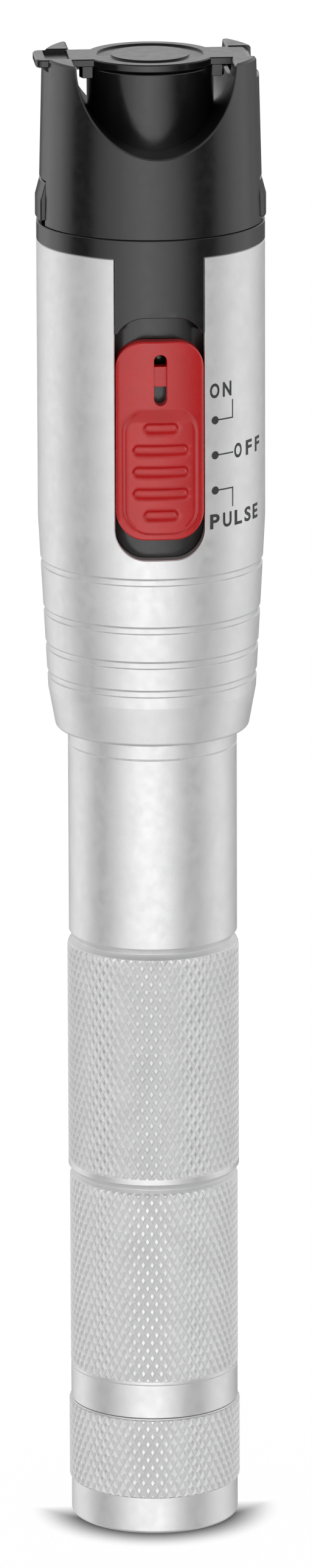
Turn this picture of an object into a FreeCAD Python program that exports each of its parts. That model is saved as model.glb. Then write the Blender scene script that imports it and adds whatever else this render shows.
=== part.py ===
import FreeCAD, Part
import math
import os
from FreeCAD import Vector

# Visual fault locator: a pen-size red light source with a 2.5 mm ferrule port.
# Millimetres. +Z runs from the tail cap to the port, the slider faces -Y, and the
# origin is the centre of the flat tail end.

# Fits between pieces
FIT = 0.05
TURN_FIT = 0.08
SLIDE_FIT = 0.12
HAIR = 0.001

# Cells and the bore that holds them
CELL_R = 7.1
CELL_LEN = 50.5
CELL_NUB_R = 2.7
CELL_NUB_H = 1.3
CELL_ROUND = 0.7
CELL_PLAY = 0.3

# Tail cap and its spring
CAP_LEN = 14.0
CAP_RISE = 0.24
CAP_FLOOR = 2.0
CAP_BAND = 4.3
CAP_LIP = 0.5
CAP_EDGE = 0.4
CAP_POCKET_STEP = 0.1
CAP_WALL = 0.92
SEAT_T = 0.8
SEAT_PLAY = 0.18
SEAT_BOSS_R = 3.2
SEAT_BOSS_H = 0.5
SPRING_LEN = 5.2
SPRING_R = 4.4
SPRING_WIRE = 0.4
SPRING_TURNS = 3.0

# Barrel
TUBE_WALL = 2.31
TAIL_SEAM = 0.06
TAIL_SCREW = 9.4
SCREW_LEAD = 0.2
RING_WIRE = 0.41
RING_BELOW_SHOULDER = 1.4
TAIL_BAND = 4.1
LINE_W = 0.2
LINE_DEPTH = 0.12
REAR_KNURL = 22.85
REAR_RISE = 0.04
FRONT_KNURL = 26.47
FRONT_RISE = 0.19
FRONT_LAND = 0.4
GROOVE_LOW = 0.56
GROOVE_HIGH = 0.76
GROOVE_DEPTH = 0.57

# Head shell
HEAD_R = 13.0
HEAD_WALL = 1.8
HEAD_OVERLAP = 16.1
HEAD_SCREW_WALL = 0.75
NECK_LEN = 1.9
SHOULDER_IN = 0.85
SHOULDER_ROUND = 0.7
SHOULDER_LEN = 4.7
CONE_IN = 1.07
CONE_LEN = 20.0
HEAD_LEN = 58.9
HEAD_GROOVES = (21.55, 15.85, 11.75, 8.35)
HEAD_GROOVE_W = 0.9
HEAD_GROOVE_DEPTH = 0.2
SLOT_HALF = 5.1
SLOT_FROM_NECK = 24.2
SLOT_CORNER = 3.4

# Switch slider
RECESS_LEN = 28.0
SLIDER_END_PLAY = 0.525
SLIDER_LOW_BY = 0.15
SLIDER_CORNER = 3.2
SLIDER_PROUD = 0.05
TRAVEL = 2.0
PAD_HALF = 4.07
PAD_UP = 0.85
PAD_TO_WINDOW = 0.45
PAD_CORNER = 2.8
PAD_H = 0.5
PAD_RAMP = 1.3
PAD_EDGE = 0.18
RIBS = 5
RIB_PITCH = 2.52
RIB_H = 1.3
RIB_LONG = 3.2
RIB_SHORT = 2.0
RIB_DEPTH = 0.32
WINDOW_HALF = 0.72
WINDOW_BELOW_TOP = 1.5
WINDOW_LEN = 5.85
WINDOW_DEPTH = 0.5
HOLE_TOP_LEN = 1.44
HOLE_LOW_LEN = 2.1

# Carrier, collar and lid
RING_H = 2.2
CARRIER_WALL = 1.55
WEB_T = 2.4
SPIGOT_LEN = 7.9
LUG_HALF = 3.2
LUG_PROUD = 0.13
LUG_GAP = 0.55
LUG_STRAIGHT = 2.35
LUG_RAMP = 2.0
LUG_RAMP_IN = 0.4
WINDOW_PLAY = 0.2
COLLAR_LEN = 19.1
COLLAR_IN = 0.24
COLLAR_TAPER = 0.49
COLLAR_EDGE = 0.3
SCALLOP_HALF = 8.95
SCALLOP_DEPTH = 9.8
LID_T = 0.9
LID_SUNK = 0.1
LID_LAP = 0.16
STRIP_HALF = 3.2
STRIP_PLAY = 0.1
TAB_OUT = 0.88
TAB_CORNER = 0.9
LID_RING_OUT = 6.04
LID_RING_IN = 4.47
LID_RING_DEPTH = 0.2
HINGE_IN = 1.65
KNUCKLE_R = 0.95
PIN_R = 0.3
PIN_GRIP = 0.75
NOTCH_PLAY = 0.15
FOOT_T = 0.6
FOOT_H = 0.9
FOOT_W = 1.0
FOOT_GAP = 0.3

# Port and optics
FLANGE_T = 0.9
BOSS_R = 7.2
BOSS_CUP_R = 5.6
BOSS_CUP_DEPTH = 1.0
LID_GAP = 0.2
PORT_R = 3.2
PORT_FLANGE_R = 4.6
PORT_FLANGE_T = 1.8
PORT_SUNK = 0.5
FERRULE_BORE_R = 1.26
PORT_ENTRY = 2.7
PORT_CHAMFER = 0.4
SLEEVE_WALL = 0.35
SLEEVE_FOOT = 0.55
SLEEVE_SLIT = 0.4
MOUNT_R = 4.6
MOUNT_LEN = 12.9
MOUNT_FLANGE_R = 6.5
MOUNT_FLANGE_T = 1.2
LENS_R = 2.05
LENS_T = 2.2
LENS_BULGE = 0.5
LENS_UP = 6.8
APERTURE_R = 1.2
DIODE_R = 2.8
DIODE_CAP_R = 2.35
DIODE_BASE = 1.2
DIODE_CAP = 2.3
DIODE_POCKET = 4.0
LEAD_R = 0.22
LEAD_LEN = 4.0
LEAD_CIRCLE = 1.27

# Electronics
BOARD_T = 1.2
BOARD_FRONT = 2.4
BOARD_CLEAR = 0.2
BOARD_END_GAP = 0.8
SWITCH_HALF = 2.2
SWITCH_LEN = 9.4
SWITCH_DEPTH = 3.5
LEVER_HALF = 0.75
LEVER_LEN = 2.0
LEVER_DEEP = 0.9
SOCKET_DEPTH = 0.8
LED_R = 1.45
LED_BODY = 3.9
LED_BELOW_FLOOR = 0.15
LED_LEG = 0.25
LED_LEG_PITCH = 1.27
CHIP_HALF = 2.0
CHIP_LEN = 5.0
CHIP_T = 1.5
CHIP_UP = 8.0
CHIP_LEG_OUT = 1.0
CHIP_LEG_W = 0.4
DISC_T = 1.2
BUTTON_R = 2.0
BUTTON_FLANGE_R = 3.2
BUTTON_FLANGE_T = 0.8
CONTACT_H = 3.9

# Radii that follow
bore_r = CELL_R + CELL_PLAY
tube_r = bore_r + TUBE_WALL
rear_knurl_r = tube_r + REAR_RISE
front_knurl_r = tube_r + FRONT_RISE
groove_r = tube_r - GROOVE_DEPTH
cap_r = tube_r
cap_crest_r = cap_r + CAP_RISE
cap_bore_r = cap_r - CAP_WALL
pocket_r = bore_r + CAP_POCKET_STEP
seat_r = pocket_r - SEAT_PLAY
tail_screw_r = cap_bore_r - TURN_FIT
ring_seat_r = tail_screw_r - 2 * RING_WIRE
neck_bore_r = tube_r - HEAD_SCREW_WALL
head_screw_r = neck_bore_r - FIT
cone_low_r = HEAD_R - CONE_IN
shoulder_r = cone_low_r - SHOULDER_IN
head_bore_r = HEAD_R - HEAD_WALL
carrier_r = head_bore_r - FIT
carrier_in_r = carrier_r - CARRIER_WALL
slider_in_r = carrier_r + SLIDE_FIT
slider_r = HEAD_R + SLIDER_PROUD
pad_r = slider_r + PAD_H
collar_low_r = HEAD_R - COLLAR_IN
collar_top_r = collar_low_r - COLLAR_TAPER
lid_r = BOSS_R + LID_LAP
tab_reach = collar_top_r + TAB_OUT
hinge_x = collar_top_r - HINGE_IN
notch_half = STRIP_HALF + STRIP_PLAY
pin_half = notch_half + PIN_GRIP
board_half = math.sqrt((carrier_in_r - BOARD_CLEAR) ** 2 - BOARD_FRONT ** 2)

# Heights that follow
seat_z = CAP_FLOOR
spring_z = seat_z + SEAT_T
cell_z = spring_z + SPRING_LEN
cells_top_z = cell_z + 2 * CELL_LEN
disc_z = cells_top_z + CONTACT_H
shoulder_z = CAP_LEN + TAIL_SEAM
tail_line_z = shoulder_z + TAIL_BAND
rear_groove_z = tail_line_z + REAR_KNURL
rear_floor_z = rear_groove_z + GROOVE_LOW
front_knurl_z = rear_floor_z + GROOVE_HIGH
front_land_z = front_knurl_z + FRONT_KNURL
front_groove_z = front_land_z + FRONT_LAND
front_floor_z = front_groove_z + GROOVE_LOW
plain_z = front_floor_z + GROOVE_HIGH
neck_z = cells_top_z - HEAD_OVERLAP
ledge_z = neck_z + NECK_LEN
cone_z = ledge_z + SHOULDER_LEN
cone_top_z = cone_z + CONE_LEN
head_top_z = neck_z + HEAD_LEN
slot_z = neck_z + SLOT_FROM_NECK
recess_top_z = slot_z + RECESS_LEN
slider_mid_z = slot_z + RECESS_LEN / 2 - SLIDER_LOW_BY
slider_len = RECESS_LEN - 2 * (TRAVEL + SLIDER_END_PLAY)
slider_z = slider_mid_z - slider_len / 2
slider_top_z = slider_z + slider_len
window_z = slider_top_z - WINDOW_BELOW_TOP - WINDOW_LEN
pad_z = slider_z + PAD_UP
pad_top_z = window_z - PAD_TO_WINDOW
seam_z = head_top_z + RING_H
spigot_top_z = seam_z + SPIGOT_LEN
well_z = spigot_top_z + FLANGE_T
collar_top_z = seam_z + COLLAR_LEN
lid_top_z = collar_top_z - LID_SUNK
lid_z = lid_top_z - LID_T
hinge_z = lid_top_z - KNUCKLE_R
boss_top_z = lid_z - LID_GAP
port_top_z = boss_top_z - PORT_SUNK
port_z = spigot_top_z - PORT_FLANGE_T
mount_top_z = port_z
mount_z = mount_top_z - MOUNT_LEN
led_z = window_z + WINDOW_LEN - HOLE_TOP_LEN / 2
board_z = disc_z + DISC_T
board_top_z = mount_z - BOARD_END_GAP


def rounded_wire(corners, place):
    """Closed wire through (u, v, radius) corners; place turns (u, v) into a point."""
    runs = []
    for index, (u, v, radius) in enumerate(corners):
        here = place(u, v)
        if radius <= 0:
            runs.append((here, None, here))
            continue
        before = place(*corners[index - 1][:2]) - here
        after = place(*corners[(index + 1) % len(corners)][:2]) - here
        before.normalize()
        after.normalize()
        half = before.getAngle(after) / 2
        middle = before + after
        middle.normalize()
        reach = radius / math.tan(half)
        top = here + middle * (radius / math.sin(half) - radius)
        runs.append((here + before * reach, top, here + after * reach))
    edges = []
    for index, (start, top, end) in enumerate(runs):
        if top is not None:
            edges.append(Part.Arc(start, top, end).toShape())
        following = runs[(index + 1) % len(runs)][0]
        if end.distanceToPoint(following) > 1e-6:
            edges.append(Part.LineSegment(end, following).toShape())
    return Part.Wire(edges)


def turned(corners):
    """Solid of revolution about Z from (radius, height, corner radius) points."""
    face = Part.Face(rounded_wire(corners, lambda r, z: Vector(r, 0, z)))
    return face.revolve(Vector(0, 0, 0), Vector(0, 0, 1), 360)


def sharp(*points):
    return [(r, z, 0) for r, z in points]


def rod(radius, low, high):
    return Part.makeCylinder(radius, high - low, Vector(0, 0, low))


def ring(outer, inner, low, high):
    return rod(outer, low, high).cut(rod(inner, low, high))


def block(x, y, z):
    """Box between the two limits given for each direction."""
    corner = Vector(x[0], y[0], z[0])
    return Part.makeBox(x[1] - x[0], y[1] - y[0], z[1] - z[0], corner)


def front_plate(half, low, high, low_round, high_round, depth=2 * HEAD_R):
    """Rounded rectangle seen from the front, from the axis out to the front."""
    corners = [
        (-half, low, low_round),
        (half, low, low_round),
        (half, high, high_round),
        (-half, high, high_round),
    ]
    face = Part.Face(rounded_wire(corners, lambda u, v: Vector(u, -depth, v)))
    return face.extrude(Vector(0, depth, 0))


def cone_r(z):
    """Outer radius of the head's taper at a height."""
    return cone_low_r + (HEAD_R - cone_low_r) * (z - cone_z) / CONE_LEN


def groove_points(z):
    """Shallow turned groove on the taper, from its upper edge down."""
    half = HEAD_GROOVE_W / 2
    floor = HEAD_GROOVE_W / 4
    return sharp(
        (cone_r(z + half), z + half),
        (cone_r(z + floor) - HEAD_GROOVE_DEPTH, z + floor),
        (cone_r(z - floor) - HEAD_GROOVE_DEPTH, z - floor),
        (cone_r(z - half), z - half),
    )


def head_shell():
    profile = sharp(
        (neck_bore_r, neck_z),
        (neck_bore_r, disc_z - FIT),
        (head_bore_r, disc_z - FIT),
        (head_bore_r, head_top_z),
        (HEAD_R, head_top_z),
        (HEAD_R, cone_top_z),
    )
    for up in HEAD_GROOVES:
        profile += groove_points(neck_z + up)
    profile += [
        (cone_low_r, cone_z, SHOULDER_ROUND),
        (shoulder_r, ledge_z, SHOULDER_ROUND),
        (tube_r, ledge_z, 0),
        (tube_r, neck_z + LINE_DEPTH, 0),
        (tube_r - LINE_DEPTH, neck_z, 0),
    ]
    shell = turned(profile)
    slot = front_plate(SLOT_HALF, slot_z, head_top_z + HEAD_R, SLOT_CORNER, 0)
    return shell.cut(slot)


def battery_tube():
    ring_z = shoulder_z - RING_BELOW_SHOULDER
    screw_z = shoulder_z - TAIL_SCREW
    profile = sharp(
        (bore_r, screw_z),
        (tail_screw_r - SCREW_LEAD, screw_z),
        (tail_screw_r, screw_z + SCREW_LEAD),
        (tail_screw_r, ring_z - RING_WIRE),
        (ring_seat_r, ring_z - RING_WIRE),
        (ring_seat_r, ring_z + RING_WIRE),
        (tail_screw_r, ring_z + RING_WIRE),
        (tail_screw_r, shoulder_z),
        (tube_r, shoulder_z),
        (tube_r, tail_line_z - LINE_W),
        (tube_r - LINE_DEPTH, tail_line_z - LINE_W / 2),
        (rear_knurl_r, tail_line_z),
        (rear_knurl_r, rear_groove_z),
        (groove_r, rear_floor_z),
        (front_knurl_r, front_knurl_z),
        (front_knurl_r, front_land_z),
        (tube_r, front_groove_z),
        (groove_r, front_floor_z),
        (tube_r, plain_z),
        (tube_r, neck_z - LINE_DEPTH),
        (tube_r - LINE_DEPTH, neck_z),
        (head_screw_r, neck_z),
        (head_screw_r, disc_z - FIT),
        (bore_r, disc_z - FIT),
    )
    return turned(profile)


def tail_cap():
    screw_z = shoulder_z - TAIL_SCREW - SCREW_LEAD
    crest_z = CAP_LEN - CAP_LIP
    rise = cap_crest_r - cap_r
    profile = sharp(
        (0, 0),
        (cap_r - CAP_EDGE, 0),
        (cap_r, CAP_EDGE),
        (cap_r, CAP_BAND),
        (cap_crest_r, CAP_BAND + rise),
        (cap_crest_r, crest_z - rise),
        (cap_r, crest_z),
        (cap_r, CAP_LEN - LINE_DEPTH),
        (cap_r - LINE_DEPTH, CAP_LEN),
        (cap_bore_r, CAP_LEN),
        (cap_bore_r, screw_z),
        (pocket_r, screw_z),
        (pocket_r, CAP_FLOOR),
        (0, CAP_FLOOR),
    )
    return turned(profile)


def spring_seat():
    plate = rod(seat_r, seat_z, spring_z)
    boss = rod(SEAT_BOSS_R, spring_z, spring_z + SEAT_BOSS_H)
    return plate.fuse(boss).removeSplitter()


def tail_spring():
    """Helix between the seat and the rear cell."""
    rise = SPRING_LEN - 2 * SPRING_WIRE - 2 * FIT
    start = spring_z + SPRING_WIRE + FIT
    path = Part.makeHelix(rise / SPRING_TURNS, rise, SPRING_R)
    path.translate(Vector(0, 0, start))
    section = Part.Circle(Vector(SPRING_R, 0, start), Vector(0, 1, 0), SPRING_WIRE)
    return Part.Wire(path).makePipeShell([Part.Wire(section.toShape())], True, True)


def tail_o_ring():
    ring_z = shoulder_z - RING_BELOW_SHOULDER
    return Part.makeTorus(ring_seat_r + RING_WIRE, RING_WIRE, Vector(0, 0, ring_z))


def cell(low):
    body_top = low + CELL_LEN - CELL_NUB_H
    return turned([
        (0, low, 0),
        (CELL_R, low, CELL_ROUND),
        (CELL_R, body_top, CELL_ROUND),
        (CELL_NUB_R, body_top, 0),
        (CELL_NUB_R, low + CELL_LEN, 0),
        (0, low + CELL_LEN, 0),
    ])


def lugs():
    """Two snap lugs that look out of the collar's side windows."""
    low = seam_z + LUG_GAP
    profile = sharp(
        (carrier_in_r, low),
        (HEAD_R + LUG_PROUD, low),
        (HEAD_R + LUG_PROUD, low + LUG_STRAIGHT),
        (HEAD_R - LUG_RAMP_IN, low + LUG_STRAIGHT + LUG_RAMP),
        (carrier_in_r, low + LUG_STRAIGHT + LUG_RAMP),
    )
    across = block((-2 * HEAD_R, 2 * HEAD_R), (-LUG_HALF, LUG_HALF), (low, collar_top_z))
    return turned(profile).common(across)


def tongue():
    """Fills the head's slot, flush, above the slider's recess."""
    filled = front_plate(SLOT_HALF - FIT, slot_z, head_top_z, SLOT_CORNER, 0)
    recess = front_plate(SLOT_HALF, slot_z, recess_top_z, 0, SLOT_CORNER)
    return filled.common(ring(HEAD_R, carrier_in_r, slot_z, head_top_z)).cut(recess)


def inner_carrier():
    profile = sharp(
        (carrier_in_r, disc_z),
        (carrier_r, disc_z),
        (carrier_r, head_top_z),
        (HEAD_R, head_top_z),
        (HEAD_R, seam_z),
        (carrier_r, seam_z),
        (carrier_r, spigot_top_z),
        (carrier_in_r, spigot_top_z),
        (carrier_in_r, head_top_z),
        (MOUNT_R + FIT, head_top_z),
        (MOUNT_R + FIT, head_top_z - WEB_T),
        (carrier_in_r, head_top_z - WEB_T),
    )
    reach = LEVER_LEN / 2 + TRAVEL + SLIDE_FIT
    wall = front_plate(LEVER_HALF + SLIDE_FIT, slider_mid_z - reach, slider_mid_z + reach, 0, 0)
    light = Part.makeCylinder(LED_R + FIT, 2 * HEAD_R, Vector(0, 0, led_z), Vector(0, -1, 0))
    body = turned(profile).fuse([tongue(), lugs()])
    return body.cut(wall).cut(light).removeSplitter()


def scallops():
    """Elliptic cut that runs through the collar from front to back."""
    centre = Vector(0, -HEAD_R, collar_top_z)
    across = centre + Vector(SCALLOP_HALF, 0, 0)
    down = centre - Vector(0, 0, SCALLOP_DEPTH)
    ends = sorted([across, down], key=lambda end: -end.distanceToPoint(centre))
    outline = Part.Ellipse(ends[0], ends[1], centre).toShape()
    return Part.Face(Part.Wire(outline)).extrude(Vector(0, 2 * HEAD_R, 0))


def nose_collar():
    """Nose with a channel across it, which leaves a horn on each side of the boss."""
    body = turned(sharp(
        (head_bore_r, seam_z),
        (collar_low_r, seam_z),
        (collar_top_r, collar_top_z - COLLAR_EDGE),
        (collar_top_r - COLLAR_EDGE, collar_top_z),
        (BOSS_R + FIT, collar_top_z),
        (BOSS_R + FIT, well_z),
        (head_bore_r, well_z),
    ))
    reach = 2 * HEAD_R
    tab_floor = lid_z - NOTCH_PLAY
    hinge_floor = hinge_z - KNUCKLE_R - NOTCH_PLAY
    side = LUG_HALF + WINDOW_PLAY
    windows_top = seam_z + LUG_GAP + LUG_STRAIGHT + LUG_RAMP + WINDOW_PLAY
    cuts = [
        scallops(),
        block((-reach, 0), (-notch_half, notch_half), (tab_floor, collar_top_z)),
        block((0, reach), (-notch_half, notch_half), (hinge_floor, collar_top_z)),
        block((-reach, reach), (-side, side), (seam_z, windows_top)),
        hinge_rod(PIN_R, pin_half),
    ]
    return body.cut(cuts)


def hinge_rod(radius, half):
    start = Vector(hinge_x, -half, hinge_z)
    return Part.makeCylinder(radius, 2 * half, start, Vector(0, 1, 0))


def lid_feet():
    """Small feet under the strip that stand beside the boss."""
    inner = BOSS_R + FOOT_GAP
    low = lid_z - FOOT_H
    band = ring(inner + FOOT_T, inner, low, lid_z)
    feet = []
    for side in (-1, 1):
        across = sorted((side * STRIP_HALF, side * (STRIP_HALF - FOOT_W)))
        feet.append(band.common(block((-HEAD_R, HEAD_R), across, (low, lid_z))))
    return feet


def lid_strip():
    """Strip from the hinge across the lid to a thumb tab that stands out past the collar."""
    corners = [
        (-tab_reach, -STRIP_HALF, TAB_CORNER),
        (hinge_x, -STRIP_HALF, 0),
        (hinge_x, STRIP_HALF, 0),
        (-tab_reach, STRIP_HALF, TAB_CORNER),
    ]
    outline = rounded_wire(corners, lambda u, v: Vector(u, v, lid_z))
    return Part.Face(outline).extrude(Vector(0, 0, LID_T))


def dust_lid():
    disc = rod(lid_r, lid_z, lid_top_z)
    knuckle = hinge_rod(KNUCKLE_R, STRIP_HALF)
    lid = disc.fuse([lid_strip(), knuckle] + lid_feet())
    groove = ring(LID_RING_OUT, LID_RING_IN, lid_top_z - LID_RING_DEPTH, lid_top_z)
    return lid.cut([groove, hinge_rod(PIN_R + FIT, STRIP_HALF)]).removeSplitter()


def lid_hinge_pin():
    return hinge_rod(PIN_R, pin_half)


def port_housing():
    return turned(sharp(
        (PORT_R + FIT, spigot_top_z),
        (carrier_r, spigot_top_z),
        (carrier_r, well_z),
        (BOSS_R, well_z),
        (BOSS_R, boss_top_z),
        (BOSS_CUP_R, boss_top_z),
        (BOSS_CUP_R, boss_top_z - BOSS_CUP_DEPTH),
        (PORT_R + FIT, boss_top_z - BOSS_CUP_DEPTH),
    ))


def ferrule_port():
    pocket_r = FERRULE_BORE_R + SLEEVE_WALL + FIT
    entry_z = port_top_z - PORT_ENTRY
    return turned(sharp(
        (pocket_r, port_z),
        (PORT_FLANGE_R, port_z),
        (PORT_FLANGE_R, spigot_top_z),
        (PORT_R, spigot_top_z),
        (PORT_R, port_top_z),
        (FERRULE_BORE_R + PORT_CHAMFER, port_top_z),
        (FERRULE_BORE_R, port_top_z - PORT_CHAMFER),
        (FERRULE_BORE_R, entry_z),
        (pocket_r, entry_z),
    ))


def alignment_sleeve():
    low = port_z + SLEEVE_FOOT
    high = port_top_z - PORT_ENTRY - FIT
    tube = ring(FERRULE_BORE_R + SLEEVE_WALL, FERRULE_BORE_R, low, high)
    return tube.cut(block((-SLEEVE_SLIT / 2, SLEEVE_SLIT / 2), (0, BOSS_R), (low, high)))


def laser_mount():
    pocket_top = mount_z + DIODE_POCKET
    lens_z = mount_z + LENS_UP
    return turned(sharp(
        (DIODE_R + FIT, mount_z),
        (MOUNT_R, mount_z),
        (MOUNT_R, head_top_z),
        (MOUNT_FLANGE_R, head_top_z),
        (MOUNT_FLANGE_R, head_top_z + MOUNT_FLANGE_T),
        (MOUNT_R, head_top_z + MOUNT_FLANGE_T),
        (MOUNT_R, mount_top_z),
        (LENS_R + FIT, mount_top_z),
        (LENS_R + FIT, lens_z),
        (APERTURE_R, lens_z),
        (APERTURE_R, pocket_top),
        (DIODE_R + FIT, pocket_top),
    ))


def focusing_lens():
    low = mount_z + LENS_UP
    body = rod(LENS_R, low, low + LENS_T)
    ball_r = (LENS_R ** 2 + LENS_BULGE ** 2) / (2 * LENS_BULGE)
    ball = Part.makeSphere(ball_r, Vector(0, 0, low + LENS_T - ball_r))
    return body.common(ball)


def laser_diode():
    top = mount_z + DIODE_POCKET
    base_top = top - DIODE_CAP
    base = base_top - DIODE_BASE
    can = rod(DIODE_R, base, base_top).fuse(rod(DIODE_CAP_R, base_top, top))
    leads = []
    for turn in (45, 135, 270):
        angle = math.radians(turn - 180)
        spot = Vector(LEAD_CIRCLE * math.cos(angle), LEAD_CIRCLE * math.sin(angle), base - LEAD_LEN)
        leads.append(Part.makeCylinder(LEAD_R, LEAD_LEN, spot))
    return can.fuse(leads).removeSplitter()


def circuit_board():
    back = BOARD_T - BOARD_FRONT
    return block((-board_half, board_half), (-BOARD_FRONT, back), (board_z, board_top_z))


def switch_front():
    return -BOARD_FRONT - SWITCH_DEPTH


def slide_switch():
    half_len = SWITCH_LEN / 2
    body = block((-SWITCH_HALF, SWITCH_HALF), (switch_front(), -BOARD_FRONT),
                 (slider_mid_z - half_len, slider_mid_z + half_len))
    reach = LEVER_LEN / 2 + TRAVEL + SLIDE_FIT
    side = LEVER_HALF + SLIDE_FIT
    slot = block((-side, side), (switch_front(), switch_front() + LEVER_DEEP + SLIDE_FIT),
                 (slider_mid_z - reach, slider_mid_z + reach))
    return body.cut(slot)


def lever_tip():
    return -slider_in_r - SOCKET_DEPTH


def switch_lever():
    return block((-LEVER_HALF, LEVER_HALF), (lever_tip(), switch_front() + LEVER_DEEP),
                 (slider_mid_z - LEVER_LEN / 2, slider_mid_z + LEVER_LEN / 2))


def indicator_led():
    tip = -carrier_r + LED_BELOW_FLOOR
    dome_y = tip + LED_R
    base_y = tip + LED_BODY
    body = Part.makeCylinder(LED_R, base_y - dome_y, Vector(0, dome_y, led_z), Vector(0, 1, 0))
    dome = Part.makeSphere(LED_R, Vector(0, dome_y, led_z))
    legs = []
    for side in (-1, 1):
        spot = side * LED_LEG_PITCH
        legs.append(block((-LED_LEG, LED_LEG), (base_y, -BOARD_FRONT),
                          (led_z + spot / 2 - LED_LEG, led_z + spot / 2 + LED_LEG)))
    return body.fuse([dome] + legs).removeSplitter()


def driver_chip():
    back = BOARD_T - BOARD_FRONT
    low = board_z + CHIP_UP
    body = block((-CHIP_HALF, CHIP_HALF), (back, back + CHIP_T), (low, low + CHIP_LEN))
    legs = []
    for index in range(4):
        spot = low + CHIP_LEN * (index + 0.5) / 4
        legs.append(block((-CHIP_HALF - CHIP_LEG_OUT, CHIP_HALF + CHIP_LEG_OUT), (back, back + CHIP_LEG_W),
                          (spot - CHIP_LEG_W / 2, spot + CHIP_LEG_W / 2)))
    return body.fuse(legs).removeSplitter()


def contact_disc():
    return rod(carrier_in_r - FIT, disc_z, disc_z + DISC_T)


def positive_contact():
    flange_z = disc_z - BUTTON_FLANGE_T
    flange = rod(BUTTON_FLANGE_R, flange_z, disc_z)
    return flange.fuse(rod(BUTTON_R, cells_top_z + FIT, flange_z)).removeSplitter()


def long_hole(half, low, high):
    """Round-ended slot seen from the front, wide or tall."""
    end = min(half, (high - low) / 2) - HAIR
    return front_plate(half, low, high, end, end)


def grip_pad():
    pad = front_plate(PAD_HALF, pad_z, pad_top_z, PAD_CORNER, PAD_CORNER)
    pad = pad.common(ring(pad_r, slider_in_r + PAD_H, pad_z, pad_top_z))
    rim = [edge for edge in pad.Edges if on_radius(edge, pad_r)]
    pad = pad.makeFillet(PAD_EDGE, rim)
    wedge = Part.makePolygon([
        Vector(-HEAD_R, -slider_r, pad_top_z),
        Vector(-HEAD_R, -pad_r - PAD_H, pad_top_z - PAD_RAMP * 2),
        Vector(-HEAD_R, -pad_r - PAD_H, pad_top_z),
        Vector(-HEAD_R, -slider_r, pad_top_z),
    ])
    return pad.cut(Part.Face(wedge).extrude(Vector(2 * HEAD_R, 0, 0)))


def grip_ribs():
    """Round-ended grooves across the pad, short at both ends of the row."""
    first_z = (pad_z + pad_top_z - RIB_PITCH * (RIBS - 1)) / 2
    floor = rod(pad_r - RIB_DEPTH, slider_z, slider_top_z)
    ribs = []
    for index in range(RIBS):
        mid = first_z + RIB_PITCH * index
        reach = RIB_SHORT if index in (0, RIBS - 1) else RIB_LONG
        ribs.append(long_hole(reach, mid - RIB_H / 2, mid + RIB_H / 2).cut(floor))
    return ribs


def on_radius(edge, radius):
    """True where both ends and the middle of an edge lie on one cylinder about Z."""
    low, high = edge.ParameterRange
    points = [edge.valueAt(low + (high - low) * share) for share in (0, 0.5, 1)]
    return all(abs(math.hypot(point.x, point.y) - radius) < 1e-4 for point in points)


def switch_slider():
    half = SLOT_HALF - SLIDE_FIT
    base = front_plate(half, slider_z, slider_top_z, SLIDER_CORNER, SLIDER_CORNER)
    base = base.common(ring(slider_r, slider_in_r, slider_z, slider_top_z))
    body = base.fuse(grip_pad())
    window_top = window_z + WINDOW_LEN
    window = long_hole(WINDOW_HALF, window_z, window_top)
    cuts = grip_ribs() + [window.cut(rod(slider_r - WINDOW_DEPTH, slider_z, slider_top_z))]
    for limits in ((window_z, window_z + HOLE_LOW_LEN), (window_top - HOLE_TOP_LEN, window_top)):
        cuts.append(window.common(block((-HEAD_R, HEAD_R), (-2 * HEAD_R, 0), limits)))
    socket = LEVER_HALF + FIT
    cuts.append(block((-socket, socket), (lever_tip() - FIT, 0),
                      (slider_mid_z - LEVER_LEN / 2 - FIT, slider_mid_z + LEVER_LEN / 2 + FIT)))
    return body.cut(cuts).removeSplitter()


PIECES = {
    "head_shell": head_shell,
    "battery_tube": battery_tube,
    "tail_cap": tail_cap,
    "spring_seat": spring_seat,
    "tail_spring": tail_spring,
    "tail_o_ring": tail_o_ring,
    "battery_rear": lambda: cell(cell_z),
    "battery_front": lambda: cell(cell_z + CELL_LEN),
    "inner_carrier": inner_carrier,
    "nose_collar": nose_collar,
    "dust_lid": dust_lid,
    "lid_hinge_pin": lid_hinge_pin,
    "port_housing": port_housing,
    "ferrule_port": ferrule_port,
    "alignment_sleeve": alignment_sleeve,
    "laser_mount": laser_mount,
    "focusing_lens": focusing_lens,
    "laser_diode": laser_diode,
    "circuit_board": circuit_board,
    "slide_switch": slide_switch,
    "switch_lever": switch_lever,
    "indicator_led": indicator_led,
    "driver_chip": driver_chip,
    "contact_disc": contact_disc,
    "positive_contact": positive_contact,
    "switch_slider": switch_slider,
}


def main():
    os.makedirs("parts", exist_ok=True)
    for name, make in PIECES.items():
        shape = make()
        shape.exportStep("parts/" + name + ".step")
        print(name, "valid", shape.isValid(), "solids", len(shape.Solids), "volume", round(shape.Volume, 2))


main()
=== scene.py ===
import math

import bmesh
import bpy
import numpy as np
from mathutils import Matrix, Vector
from mathutils.geometry import delaunay_2d_cdt


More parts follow.
